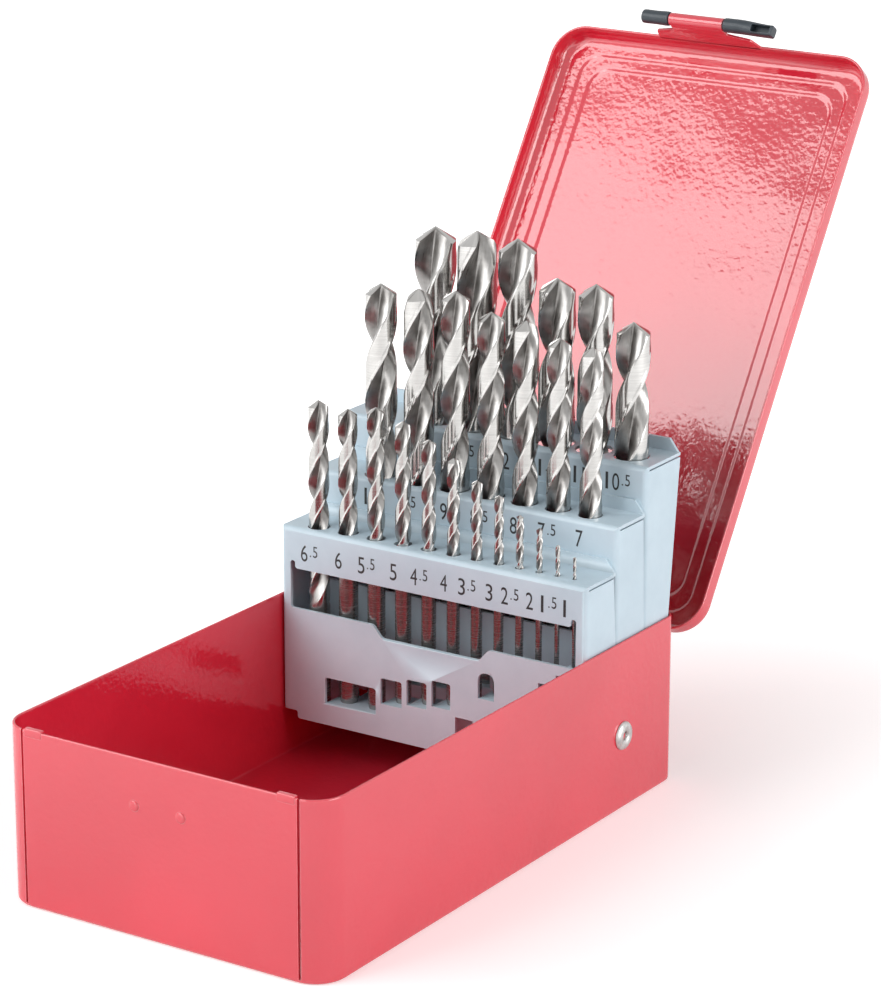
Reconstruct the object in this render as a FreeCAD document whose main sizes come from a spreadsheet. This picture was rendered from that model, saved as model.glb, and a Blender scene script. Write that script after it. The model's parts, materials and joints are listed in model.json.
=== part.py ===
import FreeCAD, Part
import math
import os
import Sketcher

# Drill bit case: a folded steel tray with a hinged lid, a stepped drill holder that
# swings out on two rivets, and 25 twist drills. Millimetres, Z up, X across, the latch
# side towards -Y. The origin is the centre of the tray's underside. The lid stands open
# and the holder upright.

# Folded tray and its rim.
TRAY_SIZES = {
    "tray_width": 112,
    "tray_length": 188,
    "tray_height": 54,
    "tray_steel": 0.8,
    "tray_front_corner": 10,
    "tray_rear_corner": 5,
    "tray_bottom_bevel": 0.9,
    "seam_past_corner": 1.4,
    "seam_gap": 0.4,
    "seam_foot": 3,
    "lug_width": 6,
    "lug_drop": 2.4,
    "lug_steel": 0.8,
    "lug_rise": 0.7,
    "lug_from_seam": 1,
    "bump_spacing": 16,
    "bump_level": 39.7,
    "bump_width": 3.6,
    "bump_rise": 0.6,
}

# Pressed lid, its raised panel and the strap that carries the latch.
LID_SIZES = {
    "lid_side_gap": 1.2,
    "lid_front_gap": 1.2,
    "lid_rear_gap": 3.2,
    "lid_rim_overlap": 3,
    "lid_depth": 8.15,
    "lid_corner": 11,
    "lid_edge_bevel": 2.6,
    "panel_side_margin": 8.7,
    "panel_end_margin": 7,
    "panel_slope": 4.3,
    "panel_rise": 1,
    "panel_corner": 7,
    "strap_root": 18.8,
    "strap_shoulder": 17.3,
    "strap_shoulder_drop": 4.9,
    "strap_neck_drop": 7.3,
    "strap_drop": 11,
    "strap_offset": 1,
    "barrel_half": 9.85,
    "barrel_radius": 2.1,
}

# Lever that turns on the pin in the strap's barrel.
LATCH_SIZES = {
    "latch_pin_radius": 1.25,
    "latch_end_gap": 0.35,
    "latch_arm": 9.8,
    "latch_knuckle_radius": 2.4,
    "latch_web": 1.2,
    "latch_web_gap": 0.4,
    "latch_web_height": 4.6,
    "latch_tail_radius": 12,
    "latch_tail_rise": 3.4,
}

# Hinge behind the tray.
HINGE_SIZES = {
    "hinge_width": 78,
    "hinge_level": 47.3,
    "hinge_behind_tray": 3.9,
    "hinge_steel": 0.8,
    "hinge_pin_radius": 1.3,
    "hinge_knuckle_radius": 2.15,
    "hinge_leaf_height": 13,
    "hinge_leaf_top": 41.6,
    "hinge_lid_leaf": 3.4,
    "knuckle_gap": 0.3,
}

# Three stamped brackets of the drill holder. Depths run back from the tray's rear face.
HOLDER_SIZES = {
    "holder_side_gap": 0.3,
    "holder_steel": 1,
    "holder_bend": 1.7,
    "holder_foot": 14.1,
    "step_level": 53.2,
    "front_face": 52.4,
    "front_to_middle": 35.1,
    "front_rear_high": 36.9,
    "front_top": 76.3,
    "middle_to_back": 18.5,
    "middle_rear_high": 19.9,
    "middle_top": 90.3,
    "back_rear_low": 3.9,
    "back_rear_high": 1.7,
    "back_foot_taper": 2.2,
    "back_top": 104.5,
    "back_foot": 13.4,
    "front_row": 47,
    "middle_row": 28.7,
    "back_row": 10,
    "hole_play": 0.4,
    "relief_slit": 0.5,
    "lip_rise": 4,
    "lip_slant": 3,
    "lip_end_gap": 0.4,
    "corner_notch": 5.6,
    "corner_notch_rise": 2.5,
    "rest_reach": 10.2,
    "rest_edge_gap": 0.3,
    "rest_window": 8.4,
    "window_reach_left": 2.3,
    "window_reach_right": 0.5,
    "front_strip": 13,
    "front_strip_end": 10.6,
    "front_window_margin": 3.4,
    "front_window_notch": 1.8,
    "front_window_low": 50.3,
    "front_window_dip": 46.5,
    "front_dip_half": 17.6,
    "front_dip_slope": 3.3,
    "middle_strip": 13.4,
    "middle_window_low": 55,
    "middle_window_margin": 5,
    "back_strip": 10.5,
    "back_window_low": 60,
    "back_window_margin": 6,
}

# Rivets that the holder swings on.
PIVOT_SIZES = {
    "pivot_from_rear": 31.7,
    "pivot_level": 24,
    "rivet_radius": 1.5,
    "rivet_head_radius": 4.45,
    "rivet_head": 1.3,
    "rivet_collar_radius": 1.9,
    "rivet_collar": 0.9,
    "rivet_play": 0.05,
}

# One overrun for all cuts, how far the closed lid turns, and the sides and knuckles of
# what repeats.
CUT_OVERRUN = 2
LID_OPENING_DEGREES = 123.5
HINGE_KNUCKLES = 3
HOLE_SIDES = 12
SHANK_SIDES = 12

# Drills: diameter, overall length, length from the tip to where the flutes end.
DRILL_SIZES = {
    "6_5": (6.5, 101.5, 66),
    "6_0": (6.0, 94.4, 48),
    "5_5": (5.5, 96.5, 50),
    "5_0": (5.0, 89.7, 44),
    "4_5": (4.5, 84.0, 41),
    "4_0": (4.0, 78.2, 37),
    "3_5": (3.5, 73.4, 34),
    "3_0": (3.0, 63.3, 29),
    "2_5": (2.5, 60.0, 24),
    "2_0": (2.0, 52.2, 21),
    "1_5": (1.5, 41.3, 15),
    "1_0": (1.0, 35.0, 12),
    "10_0": (10.0, 133.0, 87),
    "9_5": (9.5, 125.0, 81),
    "9_0": (9.0, 125.0, 81),
    "8_5": (8.5, 117.0, 75),
    "8_0": (8.0, 117.0, 75),
    "7_5": (7.5, 109.0, 69),
    "7_0": (7.0, 109.0, 69),
    "13_0": (13.0, 151.7, 101),
    "12_5": (12.5, 152.3, 101),
    "12_0": (12.0, 151.8, 101),
    "11_5": (11.5, 141.5, 94),
    "11_0": (11.0, 141.5, 94),
    "10_5": (10.5, 131.7, 87),
}

# How high each drill's rest is, of its bracket's height. Each row runs from left to right.
# The back row stands on the back bracket's floor.
FRONT_REST_SHARES = {
    "6_5": 0.019,
    "6_0": 0.116,
    "5_5": 0.116,
    "5_0": 0.180,
    "4_5": 0.204,
    "4_0": 0.228,
    "3_5": 0.217,
    "3_0": 0.326,
    "2_5": 0.301,
    "2_0": 0.381,
    "1_5": 0.490,
    "1_0": 0.548,
}
MIDDLE_REST_SHARES = {
    "10_0": 0.051,
    "9_5": 0.160,
    "9_0": 0.176,
    "8_5": 0.219,
    "8_0": 0.207,
    "7_5": 0.264,
    "7_0": 0.249,
}
BACK_REST_SHARES = {
    "13_0": 0,
    "12_5": 0,
    "12_0": 0,
    "11_5": 0,
    "11_0": 0,
    "10_5": 0,
}

# The width that a row's drills leave free: the share of each gap and of the right end.
ROW_SHARES = {
    "front": (0.0710, 0.1065),
    "middle": (0.0805, 0.1928),
    "back": (0.0603, 0.1285),
}

# Small windows of the front bracket: the first and the last drill that each one serves, and
# whether the rest is bent from the window's lower edge (1) or its upper edge (-1).
FRONT_WINDOWS = (
    ("6_0", "5_5", 1),
    ("5_0", "5_0", 1),
    ("4_5", "4_5", 1),
    ("4_0", "4_0", 1),
    ("3_5", "3_5", -1),
    ("3_0", "3_0", 1),
    ("2_5", "2_5", -1),
    ("2_0", "2_0", -1),
    ("1_5", "1_5", -1),
    ("1_0", "1_0", -1),
)

# Cross section of the fluted length: angle, of a half turn, and distance from the axis,
# of the radius. The second half repeats the first.
FLUTE_SECTION_SHARES = (
    (0.00, 1.00),
    (0.23, 1.00),
    (0.46, 1.00),
    (0.68, 0.30),
)
FLUTE_LEAD_SHARE = 5.44
FLUTE_RUNOUT_SHARE = 1.2
FLUTE_STEPS_PER_TURN_LARGE = 6
FLUTE_STEPS_PER_TURN_SMALL = 5
FINE_DRILL_DIAMETER = 4.75
POINT_ANGLE_DEGREES = 118

doc = FreeCAD.newDocument("drill_bit_case")
sheet = doc.addObject("Spreadsheet::Sheet", "Sizes")


class Measure:
    """A size with the sheet's formula for it beside its value."""

    def __init__(self, formula, value):
        self.formula = formula
        self.value = value

    def __add__(self, other):
        other = measure(other)
        return Measure(f"({self.formula} + {other.formula})", self.value + other.value)

    def __radd__(self, other):
        return measure(other) + self

    def __sub__(self, other):
        other = measure(other)
        return Measure(f"({self.formula} - {other.formula})", self.value - other.value)

    def __rsub__(self, other):
        return measure(other) - self

    def __mul__(self, factor):
        return Measure(f"({self.formula} * {factor})", self.value * factor)

    def __rmul__(self, factor):
        return self * factor

    def __truediv__(self, factor):
        return Measure(f"({self.formula} / {factor})", self.value / factor)

    def __neg__(self):
        return Measure(f"(0 - {self.formula})", -self.value)


def measure(number):
    """A plain number as a measure."""
    if isinstance(number, Measure):
        return number
    return Measure(repr(float(number)), float(number))


row_count = 0


def put(alias, number):
    """Writes one driving size into the sheet and returns its measure."""
    global row_count
    row_count += 1
    sheet.set(f"A{row_count}", alias)
    sheet.set(f"B{row_count}", str(number))
    sheet.setAlias(f"B{row_count}", alias)
    return Measure(f"Sizes.{alias}", float(number))


def derive(alias, amount):
    """Writes a worked-out size into the sheet and returns its measure."""
    global row_count
    row_count += 1
    sheet.set(f"A{row_count}", alias)
    sheet.set(f"B{row_count}", "=" + amount.formula.replace("Sizes.", ""))
    sheet.setAlias(f"B{row_count}", alias)
    return Measure(f"Sizes.{alias}", amount.value)


class Sizes:
    """All driving sizes by name."""


size = Sizes()
for group in (TRAY_SIZES, LID_SIZES, LATCH_SIZES, HINGE_SIZES, HOLDER_SIZES, PIVOT_SIZES):
    for alias, number in group.items():
        setattr(size, alias, put(alias, number))
size.cut_overrun = put("cut_overrun", CUT_OVERRUN)
drill_diameter = {}
drill_length = {}
drill_flute = {}
for name, (diameter, length, flute) in DRILL_SIZES.items():
    drill_diameter[name] = put(f"drill_{name}_diameter", diameter)
    drill_length[name] = put(f"drill_{name}_length", length)
    drill_flute[name] = put(f"drill_{name}_flute", flute)
doc.recompute()

X_AXIS = FreeCAD.Vector(1, 0, 0)
Y_AXIS = FreeCAD.Vector(0, 1, 0)
Z_AXIS = FreeCAD.Vector(0, 0, 1)


# Helpers for parametric pieces.
def bind(thing, **properties):
    """Ties properties of an object to the sheet."""
    for name, amount in properties.items():
        thing.setExpression(name.replace("__", "."), measure(amount).formula)


def place(thing, x, y, z):
    """Ties an object's position to the sheet."""
    bind(thing, Placement__Base__x=x, Placement__Base__y=y, Placement__Base__z=z)


def new_body(label):
    body = doc.addObject("PartDesign::Body", label)
    body.Label = label
    return body


def new_sketch(body, name, plane, offset=0):
    """A sketch on one of the body's own planes, moved along the plane's normal."""
    sketch = body.newObject("Sketcher::SketchObject", name)
    origin_plane = [part for part in body.Origin.OriginFeatures if part.Role == plane][0]
    sketch.AttachmentSupport = [(origin_plane, "")]
    sketch.MapMode = "FlatFace"
    bind(sketch, AttachmentOffset__Base__z=offset)
    return sketch


def pin_point(sketch, edge, x, y):
    """Fixes the start point of an edge to two measures."""
    for kind, amount in (("DistanceX", measure(x)), ("DistanceY", measure(y))):
        mark = sketch.addConstraint(Sketcher.Constraint(kind, -1, 1, edge, 1, amount.value))
        sketch.setExpression(f"Constraints[{mark}]", amount.formula)


def draw_outline(sketch, points):
    """A closed outline of straight edges through points given as pairs of measures."""
    spots = [FreeCAD.Vector(measure(x).value, measure(y).value, 0) for x, y in points]
    edges = []
    for here, there in zip(spots, spots[1:] + spots[:1]):
        edges.append(sketch.addGeometry(Part.LineSegment(here, there), False))
    for here, there in zip(edges, edges[1:] + edges[:1]):
        sketch.addConstraint(Sketcher.Constraint("Coincident", here, 2, there, 1))
    for edge, (x, y) in zip(edges, points):
        pin_point(sketch, edge, x, y)


def draw_rectangle(sketch, left, right, low, high):
    draw_outline(sketch, [(left, low), (right, low), (right, high), (left, high)])


def draw_circle(sketch, x, y, radius):
    """A circle fixed to its centre and radius."""
    centre = FreeCAD.Vector(measure(x).value, measure(y).value, 0)
    normal = FreeCAD.Vector(0, 0, 1)
    edge = sketch.addGeometry(Part.Circle(centre, normal, measure(radius).value), False)
    mark = sketch.addConstraint(Sketcher.Constraint("Radius", edge, measure(radius).value))
    sketch.setExpression(f"Constraints[{mark}]", measure(radius).formula)
    for kind, amount in (("DistanceX", measure(x)), ("DistanceY", measure(y))):
        mark = sketch.addConstraint(Sketcher.Constraint(kind, -1, 1, edge, 3, amount.value))
        sketch.setExpression(f"Constraints[{mark}]", amount.formula)


def pad(body, name, sketch, length, both_ways=False, backwards=False):
    feature = body.newObject("PartDesign::Pad", name)
    feature.Profile = sketch
    bind(feature, Length=length)
    feature.Midplane = both_ways
    feature.Reversed = backwards
    doc.recompute()
    return feature


def pocket(body, name, sketch, length, both_ways=False, backwards=False):
    """A cut that has to take something away."""
    before = body.Shape.Volume
    feature = body.newObject("PartDesign::Pocket", name)
    feature.Profile = sketch
    bind(feature, Length=length)
    feature.Midplane = both_ways
    feature.Reversed = backwards
    doc.recompute()
    if not body.Shape.Volume < before:
        raise RuntimeError(f"{body.Label}: {name} cuts nothing")
    return feature


def edges_where(shape, wanted):
    """Names of a shape's edges whose middle and direction pass a test."""
    names = []
    for number, edge in enumerate(shape.Edges, 1):
        middle = edge.valueAt((edge.FirstParameter + edge.LastParameter) / 2)
        direction = edge.tangentAt((edge.FirstParameter + edge.LastParameter) / 2)
        if wanted(middle, direction):
            names.append(f"Edge{number}")
    return names


def faces_where(shape, wanted):
    """Names of a shape's faces whose centre and normal pass a test."""
    names = []
    for number, face in enumerate(shape.Faces, 1):
        if wanted(face.CenterOfMass, face.normalAt(0, 0)):
            names.append(f"Face{number}")
    return names


def near(one, other, within=0.01):
    return abs(one - measure(other).value) < within


def fillet(body, name, base, edges, radius):
    feature = body.newObject("PartDesign::Fillet", name)
    feature.Base = (base, edges)
    bind(feature, Radius=radius)
    doc.recompute()
    return feature


def chamfer(body, name, base, edges, width):
    """A flat bevel in place of a small bend."""
    feature = body.newObject("PartDesign::Chamfer", name)
    feature.Base = (base, edges)
    bind(feature, Size=width)
    doc.recompute()
    return feature


def hollow(body, name, base, faces, steel):
    """Leaves a wall of even thickness, open at the named faces."""
    feature = body.newObject("PartDesign::Thickness", name)
    feature.Base = (base, faces)
    bind(feature, Value=steel)
    feature.Reversed = True
    feature.Mode = 0
    feature.Join = 0
    doc.recompute()
    return feature


def block(body, name, x, y, z, width, depth, height):
    """A box that starts a body."""
    feature = body.newObject("PartDesign::AdditiveBox", name)
    bind(feature, Length=width, Width=depth, Height=height)
    place(feature, x, y, z)
    doc.recompute()
    return feature


def along_x(direction):
    return abs(direction.x) > math.cos(math.radians(1))


def along_z(direction):
    return abs(direction.z) > math.cos(math.radians(1))


# Places that several pieces share.
tray_half = size.tray_width / 2
tray_front = -(size.tray_length / 2)
tray_rear = size.tray_length / 2
hinge_y = tray_rear + size.hinge_behind_tray
lid_rear = tray_rear + size.tray_steel + size.lid_rear_gap
lid_front = tray_front - size.tray_steel - size.lid_front_gap
lid_half = tray_half + size.tray_steel + size.lid_side_gap
lid_rim = size.tray_height - size.lid_rim_overlap
holder_half = tray_half - size.tray_steel - size.holder_side_gap
pivot_y = tray_rear - size.pivot_from_rear


def row_places(row, rest_shares):
    """How far across each drill of a row stands, reckoned from the row's right end."""
    gap_share, end_share = ROW_SHARES[row]
    across_all = sum(drill_diameter[name] for name in rest_shares)
    free = derive(f"{row}_row_free", holder_half * 2 - across_all)
    places = {}
    edge = holder_half - free * end_share
    for name in reversed(rest_shares):
        places[name] = derive(f"drill_{name}_across", edge - drill_diameter[name] / 2)
        edge = places[name] - drill_diameter[name] / 2 - free * gap_share
    return places


front_places = row_places("front", FRONT_REST_SHARES)
middle_places = row_places("middle", MIDDLE_REST_SHARES)
back_places = row_places("back", BACK_REST_SHARES)
doc.recompute()


def make_tray():
    """Folded tray: floor and four walls of one sheet, seams at the front corners."""
    body = new_body("base_tray")
    box = block(body, "tray_block", -tray_half, tray_front, 0,
                size.tray_width, size.tray_length, size.tray_height)
    front = edges_where(box.Shape, lambda at, way: along_z(way) and near(at.y, tray_front))
    rounded = fillet(body, "front_corners", box, front, size.tray_front_corner)
    rear = edges_where(rounded.Shape, lambda at, way: along_z(way) and near(at.y, tray_rear))
    rounded = fillet(body, "rear_corners", rounded, rear, size.tray_rear_corner)
    foot = edges_where(rounded.Shape, lambda at, way: near(at.z, 0))
    rounded = chamfer(body, "bottom_bevel", rounded, foot, size.tray_bottom_bevel)
    top = faces_where(rounded.Shape, lambda at, way: near(at.z, size.tray_height))
    hollow(body, "tray_walls", rounded, top, size.tray_steel)

    # Seams where the folded side walls meet the front wall.
    seam = tray_half - size.tray_front_corner + size.seam_past_corner
    seams = new_sketch(body, "seam_lines", "XZ_Plane", -tray_front - size.tray_steel * 2)
    for side in (-1, 1):
        middle = seam * side
        draw_rectangle(seams, middle - size.seam_gap / 2, middle + size.seam_gap / 2,
                       size.seam_foot, size.tray_height + size.cut_overrun)
    pocket(body, "seams", seams, size.tray_steel * 2 + size.cut_overrun, backwards=True)

    # Rim lugs folded over inside the front wall.
    lugs = new_sketch(body, "lug_lines", "XZ_Plane", -tray_front - size.tray_steel)
    for side in (-1, 1):
        outer = (seam - size.lug_from_seam) * side
        inner = outer - size.lug_width * side
        left, right = (inner, outer) if side > 0 else (outer, inner)
        draw_rectangle(lugs, left, right, size.tray_height - size.lug_drop,
                       size.tray_height + size.lug_rise)
    pad(body, "lugs", lugs, size.lug_steel, backwards=True)

    # Holes for the pivot rivets.
    holes = new_sketch(body, "rivet_hole_line", "YZ_Plane")
    draw_circle(holes, pivot_y, size.pivot_level, size.rivet_radius)
    pocket(body, "rivet_holes", holes, size.tray_width + size.cut_overrun, both_ways=True)

    # Latch bumps pressed outwards from the front wall.
    bumps = new_sketch(body, "bump_lines", "XZ_Plane", -tray_front)
    for side in (-1, 1):
        draw_circle(bumps, size.bump_spacing / 2 * side, size.bump_level, size.bump_width / 2)
    pad(body, "bumps", bumps, size.bump_rise)
    return body


def draw_rounded(sketch, half, low, high, corner):
    """A rounded rectangle, even about the sketch's upright axis."""
    left = -half
    outline = [
        (left + corner, low, half - corner, low),
        (half, low + corner, half, high - corner),
        (half - corner, high, left + corner, high),
        (left, high - corner, left, low + corner),
    ]
    turns = [
        (half - corner, low + corner, -90, 0),
        (half - corner, high - corner, 0, 90),
        (left + corner, high - corner, 90, 180),
        (left + corner, low + corner, 180, 270),
    ]
    up = FreeCAD.Vector(0, 0, 1)
    edges = []
    for (x_from, y_from, x_to, y_to), (x, y, start, end) in zip(outline, turns):
        here = FreeCAD.Vector(x_from.value, y_from.value, 0)
        there = FreeCAD.Vector(x_to.value, y_to.value, 0)
        edges.append(sketch.addGeometry(Part.LineSegment(here, there), False))
        circle = Part.Circle(FreeCAD.Vector(x.value, y.value, 0), up, corner.value)
        arc = Part.ArcOfCircle(circle, math.radians(start), math.radians(end))
        edges.append(sketch.addGeometry(arc, False))
        pin_point(sketch, edges[-2], x_from, y_from)
    for here, there in zip(edges, edges[1:] + edges[:1]):
        sketch.addConstraint(Sketcher.Constraint("Tangent", here, 2, there, 1))
    mark = sketch.addConstraint(Sketcher.Constraint("Radius", edges[1], corner.value))
    sketch.setExpression(f"Constraints[{mark}]", corner.formula)


def draw_panel(body, name, level, inset):
    """Outline of the lid's raised panel at a level, drawn in by an inset."""
    sketch = new_sketch(body, name, "XY_Plane", level)
    half = lid_half - size.panel_side_margin - inset
    low = lid_front - hinge_y + size.panel_end_margin + inset
    high = lid_rear - hinge_y - size.panel_end_margin - inset
    draw_rounded(sketch, half, low, high, size.panel_corner)
    return sketch


def loft(body, name, kind, sketches):
    feature = body.newObject(f"PartDesign::{kind}Loft", name)
    feature.Profile = sketches[0]
    feature.Sections = sketches[1:]
    feature.Ruled = True
    doc.recompute()
    return feature


def turn_open(thing):
    """Turns a piece drawn closed about the hinge line to where it stands open."""
    turn = FreeCAD.Rotation(X_AXIS, -LID_OPENING_DEGREES)
    thing.Placement = FreeCAD.Placement(FreeCAD.Vector(), turn)
    place(thing, 0, hinge_y, size.hinge_level)


def make_lid():
    """Pressed lid with a raised panel, and the latch strap rolled into a barrel."""
    body = new_body("lid_tray")
    front = lid_front - hinge_y
    rear = lid_rear - hinge_y
    rim = lid_rim - size.hinge_level
    top = rim + size.lid_depth
    box = block(body, "lid_block", -lid_half, front, rim, lid_half * 2, rear - front,
                size.lid_depth)
    corners = edges_where(box.Shape, lambda at, way: along_z(way))
    rounded = fillet(body, "lid_corners", box, corners, size.lid_corner)
    edge = edges_where(rounded.Shape, lambda at, way: near(at.z, top))
    rounded = chamfer(body, "lid_edge", rounded, edge, size.lid_edge_bevel)
    mouth = faces_where(rounded.Shape, lambda at, way: near(at.z, rim))
    hollow(body, "lid_walls", rounded, mouth, size.tray_steel)

    # Panel pressed outwards: a low frustum added outside and the same taken away inside.
    inside = top - size.tray_steel
    loft(body, "panel", "Additive",
         [draw_panel(body, "panel_foot", inside, 0),
          draw_panel(body, "panel_rise_line", top, 0),
          draw_panel(body, "panel_crown", top + size.panel_rise, size.panel_slope)])
    loft(body, "panel_hollow", "Subtractive",
         [draw_panel(body, "hollow_mouth", inside, 0),
          draw_panel(body, "hollow_crown", inside + size.panel_rise, size.panel_slope)])

    # Strap and barrel.
    strap = new_sketch(body, "strap_line", "XZ_Plane", -front - size.tray_steel)
    middle = -size.strap_offset
    right_side = [
        (middle + size.strap_root, rim + size.tray_steel),
        (middle + size.strap_root, rim),
        (middle + size.strap_shoulder, rim - size.strap_shoulder_drop),
        (middle + size.barrel_half, rim - size.strap_neck_drop),
        (middle + size.barrel_half, rim - size.strap_drop),
    ]
    left_side = [(middle * 2 - x, z) for x, z in reversed(right_side)]
    draw_outline(strap, right_side + left_side)
    pad(body, "strap", strap, size.tray_steel)
    barrel_y = front + size.tray_steel - size.barrel_radius
    barrel = new_sketch(body, "barrel_line", "YZ_Plane", middle)
    draw_circle(barrel, barrel_y, rim - size.strap_drop, size.barrel_radius)
    pad(body, "barrel", barrel, size.barrel_half * 2, both_ways=True)
    bore = new_sketch(body, "barrel_bore_line", "YZ_Plane", middle)
    draw_circle(bore, barrel_y, rim - size.strap_drop, size.latch_pin_radius + size.rivet_play)
    pocket(body, "barrel_bore", bore, size.barrel_half * 2 + size.cut_overrun, both_ways=True)
    turn_open(body)
    return body


# Latch line, measured from the hinge line with the lid closed.
latch_y = lid_front - hinge_y + size.tray_steel - size.barrel_radius
latch_z = lid_rim - size.hinge_level - size.strap_drop
latch_inner = size.barrel_half + size.latch_end_gap
latch_outer = latch_inner + size.latch_arm


def make_latch_clip():
    """Dark lever: two knuckles on the pin, a web behind the strap and a curved tail."""
    body = new_body("latch_clip")
    middle = -size.strap_offset
    for side, name in ((-1, "left"), (1, "right")):
        centre = middle + (latch_inner + latch_outer) / 2 * side
        ring = new_sketch(body, f"{name}_knuckle_line", "YZ_Plane", centre)
        draw_circle(ring, latch_y, latch_z, size.latch_knuckle_radius)
        pad(body, f"{name}_knuckle", ring, size.latch_arm, both_ways=True)

    # Web behind the strap, joined to both knuckles by their upper arms.
    web_low = latch_z + size.barrel_radius + size.latch_web_gap
    web_out = latch_y - size.latch_knuckle_radius
    web = new_sketch(body, "web_line", "XZ_Plane", -web_out - size.latch_web)
    draw_outline(web, [
        (middle - latch_outer, latch_z),
        (middle - latch_inner, latch_z),
        (middle - latch_inner, web_low),
        (middle + latch_inner, web_low),
        (middle + latch_inner, latch_z),
        (middle + latch_outer, latch_z),
        (middle + latch_outer, latch_z + size.latch_web_height + size.barrel_radius),
        (middle - latch_outer, latch_z + size.latch_web_height + size.barrel_radius / 2),
    ])
    pad(body, "web", web, size.latch_web)

    # Tail: a curved leaf that runs on from the right knuckle.
    tail = new_sketch(body, "tail_line", "XY_Plane", latch_z - size.latch_knuckle_radius / 2)
    start = middle + latch_outer
    centre = (start.value, (web_out + size.latch_tail_radius).value)
    up = FreeCAD.Vector(0, 0, 1)
    reach = math.acos(1 - (size.latch_tail_rise.value / size.latch_tail_radius.value))
    edges = []
    radii = (size.latch_tail_radius, size.latch_tail_radius - size.latch_web)
    for radius in radii:
        circle = Part.Circle(FreeCAD.Vector(centre[0], centre[1], 0), up, radius.value)
        arc = Part.ArcOfCircle(circle, -math.pi / 2, reach - math.pi / 2)
        edges.append(tail.addGeometry(arc, False))
    outer, inner = (tail.Geometry[edge] for edge in edges)
    tail.addGeometry(Part.LineSegment(outer.EndPoint, inner.EndPoint), False)
    tail.addGeometry(Part.LineSegment(inner.StartPoint, outer.StartPoint), False)
    height = size.latch_knuckle_radius * 1.5 + size.latch_web_height
    pad(body, "tail", tail, height)
    bore = new_sketch(body, "bore_line", "YZ_Plane", middle)
    draw_circle(bore, latch_y, latch_z, size.latch_pin_radius)
    pocket(body, "bore", bore, latch_outer * 2 + size.cut_overrun, both_ways=True)
    turn_open(body)
    return body


def make_rod(label, centre_y, centre_z, middle, half, radius):
    """A plain round pin along X."""
    body = new_body(label)
    sketch = new_sketch(body, f"{label}_line", "YZ_Plane", middle)
    draw_circle(sketch, centre_y, centre_z, radius)
    pad(body, f"{label}_length", sketch, half * 2, both_ways=True)
    return body


def make_latch_pin():
    body = make_rod("latch_pin", latch_y, latch_z, -size.strap_offset,
                    latch_outer - size.latch_end_gap, size.latch_pin_radius)
    turn_open(body)
    return body


def cut_knuckle_gaps(body, plane_offset, low, high, parity, depth):
    """Opens a leaf where the other leaf's knuckles turn."""
    knuckle = size.hinge_width / HINGE_KNUCKLES
    gaps = new_sketch(body, f"{body.Label}_gap_lines", "XZ_Plane", plane_offset)
    for number in range(parity, HINGE_KNUCKLES, 2):
        left = knuckle * (number - HINGE_KNUCKLES / 2) - size.knuckle_gap / 2
        right = left + knuckle + size.knuckle_gap
        if number == 0:
            left = left - size.cut_overrun
        if number == HINGE_KNUCKLES - 1:
            right = right + size.cut_overrun
        draw_rectangle(gaps, left, right, low, high)
    pocket(body, f"{body.Label}_gaps", gaps, depth, both_ways=True)


def make_base_leaf():
    """Hinge leaf on the tray's rear wall, stepped out to the hinge line."""
    body = new_body("base_hinge_leaf")
    steel = size.hinge_steel
    outer = hinge_y + steel / 2
    slope = outer - tray_rear - steel
    leaf_top = size.hinge_leaf_top
    shift = steel * (math.sqrt(2) - 1)
    section = new_sketch(body, "leaf_section", "YZ_Plane")
    draw_outline(section, [
        (tray_rear, leaf_top - size.hinge_leaf_height),
        (tray_rear + steel, leaf_top - size.hinge_leaf_height),
        (tray_rear + steel, leaf_top - shift),
        (outer, leaf_top - shift + slope),
        (outer, size.hinge_level),
        (outer - steel, size.hinge_level),
        (outer - steel, leaf_top + slope),
        (tray_rear, leaf_top),
    ])
    pad(body, "leaf", section, size.hinge_width, both_ways=True)
    ring = new_sketch(body, "knuckle_line", "YZ_Plane")
    draw_circle(ring, hinge_y, size.hinge_level, size.hinge_knuckle_radius)
    pad(body, "knuckles", ring, size.hinge_width, both_ways=True)
    bore = new_sketch(body, "pin_hole_line", "YZ_Plane")
    draw_circle(bore, hinge_y, size.hinge_level, size.hinge_pin_radius + size.rivet_play)
    pocket(body, "pin_hole", bore, size.hinge_width + size.cut_overrun, both_ways=True)
    reach = size.hinge_knuckle_radius + size.knuckle_gap
    cut_knuckle_gaps(body, -hinge_y, size.hinge_level - reach, size.hinge_level + reach, 1,
                     reach * 2)
    return body


def make_lid_leaf():
    """Hinge leaf on the lid's rear wall, drawn with the lid closed."""
    body = new_body("lid_hinge_leaf")
    wall = lid_rear - hinge_y
    rim = lid_rim - size.hinge_level
    section = new_sketch(body, "leaf_section", "YZ_Plane")
    draw_rectangle(section, wall, wall + size.hinge_steel, 0, rim + size.hinge_lid_leaf)
    pad(body, "leaf", section, size.hinge_width, both_ways=True)
    ring = new_sketch(body, "knuckle_line", "YZ_Plane")
    draw_circle(ring, 0, 0, size.hinge_knuckle_radius)
    pad(body, "knuckles", ring, size.hinge_width, both_ways=True)
    bore = new_sketch(body, "pin_hole_line", "YZ_Plane")
    draw_circle(bore, 0, 0, size.hinge_pin_radius + size.rivet_play)
    pocket(body, "pin_hole", bore, size.hinge_width + size.cut_overrun, both_ways=True)
    reach = size.hinge_knuckle_radius + size.knuckle_gap
    cut_knuckle_gaps(body, 0, -reach, reach, 0, reach * 2)
    turn_open(body)
    return body


def make_hinge_pin():
    return make_rod("hinge_pin", hinge_y, size.hinge_level, 0, size.hinge_width / 2,
                    size.hinge_pin_radius)


def revolve(body, name, sketch, axis):
    feature = body.newObject("PartDesign::Revolution", name)
    feature.Profile = sketch
    feature.ReferenceAxis = (sketch, [axis])
    feature.Angle = 360
    doc.recompute()
    return feature


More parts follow.
